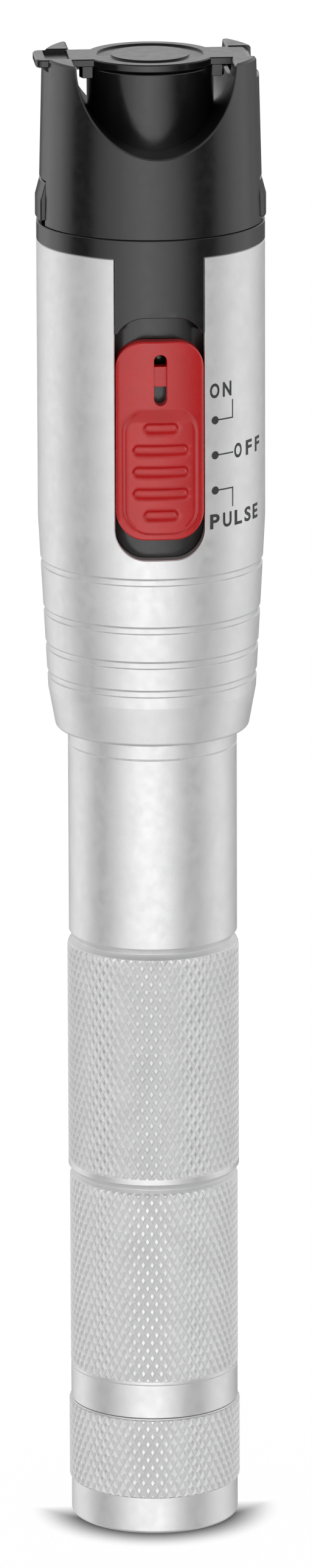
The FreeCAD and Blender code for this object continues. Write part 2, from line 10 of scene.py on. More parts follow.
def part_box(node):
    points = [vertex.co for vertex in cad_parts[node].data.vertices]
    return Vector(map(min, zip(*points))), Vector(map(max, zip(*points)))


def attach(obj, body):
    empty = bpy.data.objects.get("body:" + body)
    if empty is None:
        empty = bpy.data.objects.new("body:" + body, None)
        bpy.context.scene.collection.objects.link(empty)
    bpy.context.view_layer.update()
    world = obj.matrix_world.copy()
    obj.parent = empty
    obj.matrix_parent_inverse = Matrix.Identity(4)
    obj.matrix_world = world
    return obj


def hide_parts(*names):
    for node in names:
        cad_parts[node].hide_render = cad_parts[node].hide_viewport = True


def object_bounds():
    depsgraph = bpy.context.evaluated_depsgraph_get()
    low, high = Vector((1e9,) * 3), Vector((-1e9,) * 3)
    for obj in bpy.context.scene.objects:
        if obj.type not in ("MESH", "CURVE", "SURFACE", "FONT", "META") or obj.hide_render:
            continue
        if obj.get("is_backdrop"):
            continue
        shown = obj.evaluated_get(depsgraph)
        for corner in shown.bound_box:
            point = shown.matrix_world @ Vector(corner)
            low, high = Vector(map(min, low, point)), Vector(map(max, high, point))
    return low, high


# Looks of a visual fault locator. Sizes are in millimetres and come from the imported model
# or are named here; the frame itself is in metres.

MM = 0.001

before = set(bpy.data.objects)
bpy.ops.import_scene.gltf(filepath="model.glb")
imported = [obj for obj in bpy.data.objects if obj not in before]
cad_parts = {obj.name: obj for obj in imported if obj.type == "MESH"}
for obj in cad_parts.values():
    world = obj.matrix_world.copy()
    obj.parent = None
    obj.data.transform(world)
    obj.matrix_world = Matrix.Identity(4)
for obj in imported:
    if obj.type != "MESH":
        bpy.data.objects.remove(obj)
size_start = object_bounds()


def low_of(node):
    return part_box(node)[0] / MM


def high_of(node):
    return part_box(node)[1] / MM


# Main stations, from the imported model
HEAD_R = high_of("head_shell").x
NECK_Z = low_of("head_shell").z
HEAD_TOP = high_of("head_shell").z
CAP_TOP = high_of("tail_cap").z
COLLAR_Z = low_of("nose_collar").z
COLLAR_TOP = high_of("nose_collar").z
COLLAR_LOW_R = high_of("nose_collar").y
LID_TOP = high_of("dust_lid").z
TAB_REACH = -low_of("dust_lid").x
SPIGOT_TOP = high_of("inner_carrier").z
LUG_R = high_of("inner_carrier").x
CARRIER_Z = low_of("inner_carrier").z
BOSS_TOP = high_of("port_housing").z
BOSS_BASE = low_of("port_housing").z
SPIGOT_R = high_of("port_housing").x
SCREW_Z = low_of("battery_tube").z
TUBE_TOP = high_of("battery_tube").z
CREST_R = high_of("battery_tube").x
CAP_CREST_R = high_of("tail_cap").x
SLIDER_Z = low_of("switch_slider").z
SLIDER_TOP = high_of("switch_slider").z
SLIDER_HALF = high_of("switch_slider").x
PAD_R = -low_of("switch_slider").y
LED_Z = (low_of("indicator_led").z + high_of("indicator_led").z) / 2
LEVER_Z = (low_of("switch_lever").z + high_of("switch_lever").z) / 2

# Radii
TUBE_R = 9.71
REAR_CREST_R = 9.75
BORE_R = 7.4
SCREW_R = 8.71
RING_SEAT_R = 7.89
NECK_BORE_R = 8.96
HEAD_BORE_R = 11.2
CARRIER_IN_R = 9.6
CAP_BORE_R = 8.79
CAP_POCKET_R = 7.5
THREAD_ROOT_R = 8.15
GROOVE_R = 9.14
FRONT_END_R = 9.735
SLIDER_IN_R = 11.27
SLIDER_R = 13.05
COLLAR_TOP_R = 12.27
LED_HOLE_R = 1.5
WEB_HOLE_R = 4.65
PIN_HOLE_R = 0.35
WELL_R = 7.25
BOSS_R = 7.2
BOSS_CUP_R = 5.6
PORT_HOLE_R = 3.25
LID_R = 7.36

# Heights
CAP_POCKET_Z = 2.0
CAP_KNURL_Z = 4.3
CAP_BORE_Z = 4.46
THREAD_TOP = 12.0
REAR_KNURL_TOP = 41.24
FRONT_KNURL_Z = 42.96
FRONT_KNURL_TOP = 69.15
LEDGE_Z = 94.8
CONE_Z = 99.5
CONE_TOP = 119.5
CONE_DROP = 1.07
GROOVES = (114.45, 108.75, 104.65, 101.25)
GROOVE_CORNERS = ((-0.45, 0, 0.05), (-0.4, 0.2, 0.06), (0.2, 0.2, 0.08), (0.45, 0, 0.06))
SLOT_Z = 117.1
JOINT_Z = 116.2
RECESS_TOP = 145.1
WELL_Z = 162.8
BAND_LINE = 18.1
BAND_END = BAND_LINE + 0.34

# Slot, slider and pad
SLOT_HALF = 5.1
SLOT_ROUND = 3.4
TONGUE_TIP = math.radians(26)
SLIDER_ROUND = 3.2
PAD_HALF = 4.07
PAD_Z = 120.325
PAD_TOP = 134.625
PAD_ROUND = 2.8
PAD_RAMP = 1.3
RIB_PITCH = 2.52
RIB_COUNT = 5
RIB_HALF_H = 0.65
RIB_LONG = 3.2
RIB_SHORT = 2.0
RIB_DEPTH = 0.42
WINDOW_HALF = 0.72
WINDOW_Z = 135.075
WINDOW_TOP = 140.925
WINDOW_DEPTH = 0.5
HOLE_LOW = 2.1
HOLE_TOP = 1.44
LEVER_SLOT = (0.87, 3.12)
WEB_DEPTH = 2.4

# Collar and lid
SCALLOP_HALF = 8.95
SCALLOP_DEPTH = 9.8
CHANNEL_R = (SCALLOP_HALF + SCALLOP_DEPTH) / 2
NOTCH_HALF = 3.3
TAB_NOTCH_Z = 171.95
HINGE_NOTCH_Z = 170.95
SIDE_HALF = 3.4
SIDE_TOP = 159.1
LUG_HALF = 3.2
LUG_Z = 154.55
LUG_TOP = 158.9
LUG_STRAIGHT = 156.9
LUG_SLOPE_R = 12.6
HINGE_X = 10.62
HINGE_Z = 172.05
KNUCKLE_R = 0.95
LID_T = 0.9
STRIP_HALF = 3.2
TAB_ROUND = 0.9
DIP_OUT = 12.0
DIP_IN = 9.3
DIP_FRONT = 2.5
DIP_BACK = 3.0
DIP_DEPTH = 0.42
LID_RING = (6.04, 4.47)
LID_RING_DEPTH = 0.2
FOOT_IN = 7.5
FOOT_OUT = 8.5
FOOT_H = 1.25
FOOT_W = 1.0

# Edges and mesh fineness
BEVEL = 0.12
FINE_BEVEL = 0.08
RIM_BEVEL = 0.28
FIT_GAP = 0.05
CAP_GAP = 0.06
CREASE = 34
KNURL_CREASE = 20
COLLAR_CREASE = 10
ARC_STEP = math.radians(11)
ARC_CHORD = 0.3
TURNS = 168
THREAD_PITCH = 1.0
FULL = 2 * math.pi
HALF_LAP = math.pi * HEAD_R

# Worn line on outer edges
WEAR_WIDTH = 0.12

# Knurl
KNURL_COUNT = 59
KNURL_PITCH = 1.88
KNURL_DEPTH = 0.2
KNURL_EASE = 0.03
KNURL_SHARES = (1, 0.47, 0.37)


class Build:
    """Points in millimetres and the faces between them."""

    def __init__(self):
        self.points = []
        self.faces = []

    def ring(self, points):
        first = len(self.points)
        self.points.extend(Vector(point) for point in points)
        return list(range(first, len(self.points)))

    def face(self, *names):
        kept = [each for n, each in enumerate(names) if each != names[n - 1]]
        if len(set(kept)) == len(kept) > 2:
            self.faces.append(kept)

    def strip(self, low, high, closed=True):
        """Four-sided faces between two rings with the same number of points."""
        for n in range(len(low) if closed else len(low) - 1):
            after = (n + 1) % len(low)
            self.face(low[n], low[after], high[after], high[n])

    def strips(self, rings, closed=True):
        for low, high in zip(rings, rings[1:]):
            self.strip(low, high, closed)


def make_piece(build, name, body, paint, nodes=(), crease=CREASE):
    """Turns a build into an object that rides on a body and stands for CAD nodes."""
    mesh = bpy.data.meshes.new(name)
    mesh.from_pydata([point * MM for point in build.points], [], build.faces)
    work = bmesh.new()
    work.from_mesh(mesh)
    bmesh.ops.remove_doubles(work, verts=work.verts, dist=1e-7)
    loose = [vert for vert in work.verts if not vert.link_faces]
    bmesh.ops.delete(work, geom=loose, context="VERTS")
    bmesh.ops.recalc_face_normals(work, faces=work.faces)
    work.to_mesh(mesh)
    work.free()
    mesh.shade_smooth()
    mesh.set_sharp_from_angle(angle=math.radians(crease))
    piece = bpy.data.objects.new(name, mesh)
    bpy.context.scene.collection.objects.link(piece)
    weighted = piece.modifiers.new("weighted", "WEIGHTED_NORMAL")
    weighted.keep_sharp = True
    mesh.materials.append(paint)
    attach(piece, body)
    if nodes:
        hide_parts(*nodes)
    return piece


# Flat paths


def turned_between(start, finish):
    """Signed angle from one flat direction to another, at most half a turn."""
    sweep = math.atan2(finish.y, finish.x) - math.atan2(start.y, start.x)
    return (sweep + math.pi) % FULL - math.pi


def rounded(corners, closed=True):
    """Flat path through (u, v, radius) corners, with each corner as an arc."""
    path = []
    for n, (u, v, radius) in enumerate(corners):
        here = Vector((u, v))
        if radius <= 0 or (not closed and n in (0, len(corners) - 1)):
            path.append(here)
            continue
        before = Vector(corners[n - 1][:2]) - here
        after = Vector(corners[(n + 1) % len(corners)][:2]) - here
        half = before.angle(after) / 2
        reach = min(radius / math.tan(half), before.length / 2, after.length / 2)
        used = reach * math.tan(half)
        before.normalize()
        after.normalize()
        centre = here + (before + after).normalized() * (used / math.sin(half))
        start = here + before * reach - centre
        sweep = turned_between(start, here + after * reach - centre)
        first = math.atan2(start.y, start.x)
        steps = max(2, math.ceil(abs(sweep) * max(1 / ARC_STEP, used / ARC_CHORD)))
        for step in range(steps + 1):
            angle = first + sweep * step / steps
            path.append(centre + used * Vector((math.cos(angle), math.sin(angle))))
    return [spot for n, spot in enumerate(path) if (spot - path[n - 1]).length > 0.005]


def dense(path, pitch, closed=True):
    """The same path with extra points, so that no stretch is longer than the pitch."""
    spread = []
    for n, here in enumerate(path):
        if n == len(path) - 1 and not closed:
            spread.append(here)
            break
        after = path[(n + 1) % len(path)]
        steps = max(1, math.ceil((after - here).length / pitch - 1e-6))
        spread += [here.lerp(after, step / steps) for step in range(steps)]
    return spread


def offset(path, distance, closed=True):
    """A path moved to the left of its direction by a distance."""
    moved = []
    last = len(path) - 1
    for n, here in enumerate(path):
        sides = []
        if closed or n > 0:
            sides.append((here - path[n - 1]).normalized())
        if closed or n < last:
            sides.append((path[(n + 1) % len(path)] - here).normalized())
        along = sum(sides, Vector((0, 0))) / len(sides)
        left = Vector((-along.y, along.x))
        moved.append(here + left * (distance / max(left.length_squared, 0.25)))
    return moved


def plate_path(half, low, high, low_round, high_round, pitch=0.6):
    """Rounded rectangle that runs with its inside to the left."""
    corners = [
        (-half, low, low_round),
        (half, low, low_round),
        (half, high, high_round),
        (-half, high, high_round),
    ]
    return dense(rounded(corners), pitch)


def disc_path(u, v, radius, steps=48):
    return [
        Vector((u + radius * math.cos(FULL * n / steps), v + radius * math.sin(FULL * n / steps)))
        for n in range(steps)
    ]


# Surfaces: functions that place a flat (u, v) point


def wrap(radius):
    """Surface round the axis; u is the length along the head's own radius, 0 in front."""
    def place(u, v):
        r = radius(v) if callable(radius) else radius
        return Vector((r * math.sin(u / HEAD_R), -r * math.cos(u / HEAD_R), v))
    return place


def facing(radius):
    """Front face of a cylinder, seen flat from the front: u is x."""
    def place(u, v):
        r = radius(u, v) if callable(radius) else radius
        return Vector((u, -math.sqrt(max(r * r - u * u, 0)), v))
    return place


def level(height):
    def place(u, v):
        return Vector((u, v, height))
    return place


# Filling a flat region with triangles


def even_odd(spots, starts, ends):
    """True for each flat spot that lies inside the closed edges."""
    result = np.zeros(len(spots), int)
    rise = ends[:, 1] - starts[:, 1]
    safe = np.where(abs(rise) < 1e-12, 1e-12, rise)
    for at in range(0, len(spots), 4000):
        part = spots[at:at + 4000]
        y = part[:, 1:2]
        crosses = (starts[:, 1] > y) != (ends[:, 1] > y)
        across = starts[:, 0] + (ends[:, 0] - starts[:, 0]) * (y - starts[:, 1]) / safe
        result[at:at + 4000] = (crosses & (part[:, 0:1] < across)).sum(axis=1)
    return result % 2 == 1


def clear_of(spots, starts, ends, gap):
    """True for each flat spot that is at least a gap away from the edges."""
    result = np.ones(len(spots), bool)
    along = ends - starts
    lengths = np.maximum((along ** 2).sum(axis=1), 1e-12)
    for at in range(0, len(spots), 4000):
        part = spots[at:at + 4000, None, :]
        share = (((part - starts) * along).sum(axis=2) / lengths).clip(0, 1)
        nearest = starts + share[:, :, None] * along
        result[at:at + 4000] = ((part - nearest) ** 2).sum(axis=2).min(axis=1) > gap * gap
    return result


def grid_spots(points, pitch):
    low, high = points.min(axis=0), points.max(axis=0)
    counts = [max(2, int(math.ceil(span / pitch))) for span in high - low]
    across = [low[n] + (high[n] - low[n]) * np.arange(1, counts[n]) / counts[n] for n in (0, 1)]
    u, v = np.meshgrid(*across)
    return np.stack([u.ravel(), v.ravel()], axis=1)


def fill(build, loops, place, pitch):
    """Fills the region between (path, names) loops with triangles on a surface."""
    points, names, edges = [], [], []
    for path, ring in loops:
        first = len(points)
        points += [tuple(point) for point in path]
        names += ring
        edges += [(first + n, first + (n + 1) % len(path)) for n in range(len(path))]
    flat = np.array(points)
    starts, ends = flat[[a for a, _ in edges]], flat[[b for _, b in edges]]
    spots = grid_spots(flat, pitch)
    spots = spots[even_odd(spots, starts, ends)]
    spots = spots[clear_of(spots, starts, ends, 0.45 * pitch)]
    names = names + build.ring([place(*spot) for spot in spots])
    everything = [Vector(point) for point in points] + [Vector(spot) for spot in spots]
    verts, _, faces, origin, _, _ = delaunay_2d_cdt(everything, edges, [], 0, 1e-6, True)
    made = []
    for vert, source in zip(verts, origin):
        made.append(names[source[0]] if source else build.ring([place(*vert)])[0])
    corners = np.array([tuple(vert) for vert in verts])
    keep = even_odd(np.array([corners[list(face)].mean(axis=0) for face in faces]), starts, ends)
    for face, kept in zip(faces, keep):
        if kept:
            build.face(*[made[n] for n in face])


# Walls and shells


def towards(point, other, distance):
    span = (other - point).length
    return point.lerp(other, min(1, distance / span)) if span > 1e-9 else point.copy()


def joined_ring(build, points, lap):
    """Ring of points; a lap path comes back to its own first point."""
    if not lap:
        return build.ring(points)
    ring = build.ring(points[:-1])
    return ring + ring[:1]


def edge_pair(a, b, near_a, near_b, bevel):
    """Points just inside both ends of a wall, or of a rim where there is no wall."""
    if (a - b).length > 2.2 * bevel:
        return towards(a, b, bevel), towards(b, a, bevel)
    middle = ((near_a + near_b) / 2).lerp((a + b) / 2, 0.35)
    return middle, middle.copy()


def through(build, outer_path, inner_path, outer, inner, bevel, lap=False):
    """Wall through a shell, bevelled at both faces; gives back both faces' loops."""
    out_face = offset(outer_path, bevel, not lap)
    in_face = offset(inner_path, bevel, not lap)
    out_points = [outer(*point) for point in out_face]
    in_points = [inner(*point) for point in in_face]
    walls = []
    for n, (out_spot, in_spot) in enumerate(zip(outer_path, inner_path)):
        ends = outer(*out_spot), inner(*in_spot)
        walls.append(edge_pair(*ends, out_points[n], in_points[n], bevel))
    rings = [
        joined_ring(build, out_points, lap),
        joined_ring(build, [wall[0] for wall in walls], lap),
        joined_ring(build, [wall[1] for wall in walls], lap),
        joined_ring(build, in_points, lap),
    ]
    build.strips(rings, not lap)
    return (out_face, rings[0]), (in_face, rings[3])


def step_down(build, path, upper, lower, edge, foot, slope=0):
    """Wall from an upper face, left of the path, to a lower face on its right."""
    top = offset(path, edge)
    low_path = offset(path, -slope)
    bottom = offset(path, -slope - foot)
    pairs = [(upper(*a), lower(*b)) for a, b in zip(path, low_path)]
    rings = [
        build.ring([upper(*point) for point in top]),
        build.ring([towards(a, b, edge) for a, b in pairs]),
        build.ring([towards(b, a, foot) for a, b in pairs]),
        build.ring([lower(*point) for point in bottom]),
    ]
    build.strips(rings)
    return (top, rings[0]), (bottom[::-1], rings[3][::-1])


def lap_fill(build, low, high, holes, place, pitch):
    """Fills the face between two loops that go round the axis, with holes in it."""
    rows = max(1, round((high[0][0].y - low[0][-1].y) / pitch))
    start, finish = low[0][-1].y, high[0][0].y
    heights = [start + (finish - start) * n / rows for n in range(1, rows)]
    seam = build.ring([place(HALF_LAP, v) for v in heights])
    right = [Vector((HALF_LAP, v)) for v in heights]
    left = [Vector((-HALF_LAP, v)) for v in heights[::-1]]
    path = low[0] + right + high[0] + left
    names = low[1] + seam + high[1] + seam[::-1]
    fill(build, [(path, names)] + holes, place, pitch)


def lap_line(v):
    """Straight path round the axis from the back over the left and the front to the back."""
    return [Vector((-HALF_LAP + 2 * HALF_LAP * n / TURNS, v)) for n in range(TURNS + 1)]


def turn(build, profile, closed=True):
    """Turns a path of (radius, height) points about the axis; gives back its rings."""
    angles = [-math.pi + FULL * n / TURNS for n in range(TURNS)]
    rings = []
    for r, z in profile:
        if r < 1e-6:
            rings.append(build.ring([(0, 0, z)]) * TURNS)
        else:
            rings.append(build.ring([(r * math.sin(a), -r * math.cos(a), z) for a in angles]))
    build.strips(rings + rings[:1] if closed else rings)
    return rings


def sharp(*points):
    return [(r, z, 0) for r, z in points]


def angle_at_x(outer_u, outer_r, inner_r):
    """u on the inner surface of a wall that runs straight back along Y."""
    angle = outer_u / HEAD_R
    x = min(1, max(-1, outer_r * math.sin(angle) / inner_r))
    inner = math.asin(x)
    if abs(angle) > math.pi / 2:
        inner = math.copysign(math.pi, angle) - inner
    return inner * HEAD_R


def squeezed(line, edge_out, edge_in):
    """Line round the back whose ends move from the outer u of an edge to its inner u."""
    spots = []
    for u, v in line:
        share = (abs(u) - edge_out) / (HALF_LAP - edge_out)
        spots.append(Vector((math.copysign(edge_in + share * (HALF_LAP - edge_in), u), v)))
    return spots


def halves(pairs):
    """Outer and inner path of a list of (outer, inner) spots."""
    return [pair[0] for pair in pairs], [pair[1] for pair in pairs]


# Head shell


def cone_r(z):
    """Outer radius of the head at a height."""
    low_r = HEAD_R - CONE_DROP
    if z >= CONE_TOP:
        return HEAD_R
    return low_r + (HEAD_R - low_r) * (z - CONE_Z) / (CONE_TOP - CONE_Z)


def head_profile():
    """Outside and inside of the head below the slot, from the inner joint to the outer one."""
    shoulder = CONE_Z, cone_r(CONE_Z)
    corners = sharp(
        (HEAD_BORE_R, JOINT_Z),
        (HEAD_BORE_R, CARRIER_Z - FIT_GAP),
        (NECK_BORE_R, CARRIER_Z - FIT_GAP),
        (NECK_BORE_R, NECK_Z),
        (TUBE_R - BEVEL, NECK_Z),
        (TUBE_R, NECK_Z + BEVEL),
    )
    corners += [
        (TUBE_R, LEDGE_Z, 0.06),
        (shoulder[1] - 0.85, LEDGE_Z, 0.55),
        (shoulder[1], shoulder[0], 0.7),
    ]
    for z in reversed(GROOVES):
        for side, sunk, edge in GROOVE_CORNERS:
            corners.append((cone_r(z + side) - sunk, z + side, edge))
    corners.append((cone_r(JOINT_Z), JOINT_Z, 0))
    return rounded(corners, closed=False)


def slot_path():
    """Upper edge of the head from the right of the back, down round the slot and on."""
    right = [(n.x, n.y) for n in lap_line(HEAD_TOP)[::-1]]
    edge_u = HEAD_R * math.asin(SLOT_HALF / HEAD_R)
    corners = [
        (SLOT_HALF, HEAD_TOP, 0),
        (SLOT_HALF, SLOT_Z, SLOT_ROUND),
        (-SLOT_HALF, SLOT_Z, SLOT_ROUND),
        (-SLOT_HALF, HEAD_TOP, 0),
    ]
    notch = []
    for x, z in dense(rounded(corners, closed=False), 0.7, closed=False):
        notch.append(Vector((HEAD_R * math.asin(x / cone_r(z)), z)))
    before = [Vector(spot) for spot in right if spot[0] > edge_u + 0.2]
    after = [Vector(spot) for spot in right if spot[0] < -edge_u - 0.2]
    return before, notch, after


def head_shell(paint):
    build = Build()
    rings = turn(build, head_profile(), closed=False)
    before, notch, after = slot_path()
    outer_path = before + notch + after
    inner_notch = [Vector((angle_at_x(u, cone_r(v), HEAD_BORE_R), v)) for u, v in notch]
    edges = notch[0].x, inner_notch[0].x
    inner_path = squeezed(before, *edges) + inner_notch + squeezed(after, *edges)
    outer, inner = wrap(cone_r), wrap(HEAD_BORE_R)
    top_out, top_in = through(build, outer_path, inner_path, outer, inner, BEVEL, lap=True)
    low_out = (lap_line(JOINT_Z), rings[-1] + rings[-1][:1])
    low_in = (lap_line(JOINT_Z), rings[0] + rings[0][:1])
    lap_fill(build, low_out, top_out, [], outer, 0.5)
    lap_fill(build, low_in, top_in, [], inner, 0.9)
    return make_piece(build, "head_skin", "housing", paint, ["head_shell"])


# Knurled bands


def station(stations, z):
    """Radius at a height, by straight lines between (height, radius) stations."""
    if z <= stations[0][0]:
        return stations[0][1]
    for (low, r_low), (high, r_high) in zip(stations, stations[1:]):
        if z <= high:
            return r_low + (r_high - r_low) * (z - low) / (high - low)
    return stations[-1][1]


def diamond(centre, half_u, half_v, valley, crest):
    """Nested rings of one pyramid: cut line, flank top and crown."""
    rings = []
    for share, r in zip(KNURL_SHARES, (valley, crest - KNURL_EASE, crest)):
        corners = ((1, 0), (0, 1), (-1, 0), (0, -1))
        rings.append([(centre[0] + half_u * share * a, centre[1] + half_v * share * b, r)
                      for a, b in corners])
    return rings


def flat_knurl(crest, low, high):
    """Flat mesh of the pyramids over a little more than the band: x is u, y is height, z is radius."""
    work = bmesh.new()
    half_u = HALF_LAP / KNURL_COUNT
    half_v = KNURL_PITCH / 2
    middle = (low + high) / 2
    rows = math.ceil((high - low) / 2 / half_v) + 2
    for row in range(-rows, rows + 1):
        for column in range(KNURL_COUNT):
            centre = (-HALF_LAP + half_u * (2 * column + row % 2), middle + half_v * row)
            rings = [[work.verts.new(spot) for spot in ring]
                     for ring in diamond(centre, half_u, half_v, crest - KNURL_DEPTH, crest)]
            for lower, upper in zip(rings, rings[1:]):
                for n in range(4):
                    work.faces.new((lower[n], lower[(n + 1) % 4], upper[(n + 1) % 4], upper[n]))
            work.faces.new(rings[-1])
    return work


def knurl(build, crest, floor, roof):
    """Band of pyramids that stays above the floor stations and below the roof stations."""
    low, high = floor[0][0], floor[-1][0]
    work = flat_knurl(crest, low, high)
    for z in sorted({z for z, _ in floor + roof}):
        everything = work.verts[:] + work.edges[:] + work.faces[:]
        bmesh.ops.bisect_plane(
            work,
            geom=everything,
            plane_co=(0, z, 0),
            plane_no=(0, 1, 0),
            clear_inner=z == low,
            clear_outer=z == high,
        )
    names = {}
    for vert in work.verts:
        u, z, r = vert.co
        r = min(max(r, station(floor, z)), station(roof, z))
        names[vert] = build.ring([wrap(r)(u, z)])[0]
    for face in work.faces:
        build.face(*[names[vert] for vert in face.verts])
    work.free()


# Barrel


def tube_profile(front_valley, rear_valley):
    mouth = CAP_TOP + CAP_GAP
    ring_z = mouth - 1.4
    corners = sharp(
        (BORE_R, SCREW_Z),
        (SCREW_R - 0.2, SCREW_Z),
        (THREAD_ROOT_R, SCREW_Z + 0.4),
        (THREAD_ROOT_R, THREAD_TOP),
        (SCREW_R, THREAD_TOP + 0.15),
        (SCREW_R, ring_z - 0.41),
        (RING_SEAT_R, ring_z - 0.41),
        (RING_SEAT_R, ring_z + 0.41),
        (SCREW_R, ring_z + 0.41),
        (SCREW_R, mouth),
    )
    corners += [
        (TUBE_R, mouth, 0.12),
        (TUBE_R, BAND_LINE - 0.08, 0.03),
        (TUBE_R - BEVEL, BAND_LINE, 0.03),
        (TUBE_R, BAND_LINE + 0.08, 0.03),
        (TUBE_R, BAND_END, 0),
        (rear_valley, BAND_END, 0),
        (rear_valley, REAR_KNURL_TOP, 0),
        (REAR_CREST_R - KNURL_DEPTH, REAR_KNURL_TOP, 0),
        (GROOVE_R, REAR_KNURL_TOP + 0.33, 0.06),
        (CREST_R, FRONT_KNURL_Z - 0.63, 0.08),
        (CREST_R, FRONT_KNURL_Z, 0),
        (front_valley, FRONT_KNURL_Z, 0),
        (front_valley, FRONT_KNURL_TOP, 0),
        (FRONT_END_R, FRONT_KNURL_TOP, 0),
        (TUBE_R, FRONT_KNURL_TOP + 0.05, 0.05),
        (GROOVE_R, FRONT_KNURL_TOP + 0.61, 0.06),
        (TUBE_R, FRONT_KNURL_TOP + 1.37, 0.08),
        (TUBE_R, NECK_Z - BEVEL, 0.04),
        (TUBE_R - BEVEL, NECK_Z, 0),
        (SCREW_R + 0.2, NECK_Z, 0),
        (SCREW_R + 0.2, TUBE_TOP, 0),
        (BORE_R, TUBE_TOP, 0),
    ]
    return rounded(corners)


def screw_thread(build, root, crest, low, high):
    """Helical ridge on a cylinder, one start, with a flat root and crest."""
    steps, per_turn = 72, 8
    rows = int(round((high - low) / THREAD_PITCH * per_turn))
    shape = (0, 0, 0.5, 1, 1, 1, 0.5, 0)
    rings = []
    for row in range(rows + 1):
        z = low + (high - low) * row / rows
        fade = min(1, (z - low) / THREAD_PITCH, (high - z) / THREAD_PITCH)
        ring = []
        for n in range(steps):
            angle = FULL * n / steps
            phase = (z / THREAD_PITCH - n / steps) % 1 * per_turn
            first = int(phase)
            share = phase - first
            up = shape[first % per_turn] * (1 - share) + shape[(first + 1) % per_turn] * share
            r = root + (crest - root) * up * max(0, fade)
            ring.append((r * math.sin(angle), -r * math.cos(angle), z))
        rings.append(build.ring(ring))
    build.strips(rings)


def battery_tube(paint):
    build = Build()
    front_valley = CREST_R - KNURL_DEPTH
    rear_valley = REAR_CREST_R - KNURL_DEPTH
    turn(build, tube_profile(front_valley - 0.05, rear_valley - 0.05))
    screw_thread(build, THREAD_ROOT_R, SCREW_R, SCREW_Z + 0.3, THREAD_TOP + 0.1)
    low, high = FRONT_KNURL_Z, FRONT_KNURL_TOP
    ends = (low, CREST_R), (high, FRONT_END_R)
    knurl(
        build,
        CREST_R,
        [ends[0], (low + 0.24, front_valley), (high - 0.2, front_valley), ends[1]],
        [ends[0], (high - 0.35, CREST_R), ends[1]],
    )
    low, high = BAND_END, REAR_KNURL_TOP
    knurl(
        build,
        REAR_CREST_R,
        [(low, TUBE_R), (low + 0.2, rear_valley), (high, rear_valley)],
        [(low, TUBE_R), (low + 0.1, REAR_CREST_R), (high - 0.23, REAR_CREST_R), (high, rear_valley)],
    )
    names = ["battery_tube"]
    return make_piece(build, "tube_skin", "housing", paint, names, KNURL_CREASE)


def tail_cap(paint):
    build = Build()
    low, high = CAP_KNURL_Z, CAP_TOP - 0.14
    profile = rounded([
        (0, 0, 0),
        (TUBE_R, 0, 0.4),
        (TUBE_R, low, 0),
        (TUBE_R - 0.05, low, 0),
        (TUBE_R - 0.05, high, 0),
        (TUBE_R, high, 0),
        (TUBE_R, CAP_TOP, 0.12),
        (CAP_BORE_R, CAP_TOP, 0.06),
        (CAP_BORE_R, CAP_BORE_Z, 0),
        (CAP_POCKET_R, CAP_BORE_Z, 0),
        (CAP_POCKET_R, CAP_POCKET_Z, 0),
        (0, CAP_POCKET_Z, 0),
    ])
    turn(build, profile, closed=False)
    knurl(
        build,
        CAP_CREST_R,
        [(low, TUBE_R), (high, TUBE_R)],
        [(low, TUBE_R), (low + 0.24, CAP_CREST_R), (high - 0.1, CAP_CREST_R), (high, TUBE_R)],
    )
    names = ["tail_cap"]
    return make_piece(build, "cap_skin", "tail_screw_cap", paint, names, KNURL_CREASE)


# Carrier


def carrier_tube(build):
    """Inner tube with the light's hole and the lever's slot, and the web at its top."""
    outer, inner = wrap(SPIGOT_R), wrap(CARRIER_IN_R)
    low_out, low_in = through(
        build, lap_line(CARRIER_Z), lap_line(CARRIER_Z), outer, inner, FINE_BEVEL, lap=True)
    top = lap_line(SPIGOT_TOP)[::-1]
    top_out, top_in = through(build, top, top, outer, inner, FINE_BEVEL, lap=True)
    holes_out, holes_in = [], []
    slot_half, slot_reach = LEVER_SLOT
    shapes = [
        disc_path(0, LED_Z, LED_HOLE_R)[::-1],
        plate_path(slot_half, LEVER_Z - slot_reach, LEVER_Z + slot_reach, 0.2, 0.2)[::-1],
    ]
    for shape in shapes:
        out_path = [Vector((HEAD_R * math.asin(x / SPIGOT_R), z)) for x, z in shape]
        in_path = [Vector((HEAD_R * math.asin(x / CARRIER_IN_R), z)) for x, z in shape]
        loop_out, loop_in = through(build, out_path, in_path, outer, inner, FINE_BEVEL)
        holes_out.append(loop_out)
        holes_in.append(loop_in)
    lap_fill(build, low_out, top_out, holes_out, outer, 0.8)
    lap_fill(build, low_in, top_in, holes_in, inner, 1.2)
    rim, web_z = CARRIER_IN_R + 0.1, HEAD_TOP - WEB_DEPTH
    web = sharp((rim, HEAD_TOP), (WEB_HOLE_R, HEAD_TOP), (WEB_HOLE_R, web_z), (rim, web_z))
    turn(build, rounded(web))


def tongue_path():
    """Lower edge of the ring, left to right, with the tongue that fills the slot's upper end."""
    half = SLOT_HALF - FIT_GAP
    steps = 16
    arc = []
    for n in range(steps + 1):
        angle = TONGUE_TIP + (math.pi / 2 - TONGUE_TIP) * n / steps
        x = -SLOT_HALF + SLOT_ROUND - SLOT_ROUND * math.cos(angle)
        arc.append(Vector((x, RECESS_TOP - SLOT_ROUND + SLOT_ROUND * math.sin(angle))))
    left = dense([Vector((-half, HEAD_TOP)), Vector((-half, arc[0].y))], 0.7, closed=False) + arc
    return left + [Vector((-spot.x, spot.y)) for spot in reversed(left)]


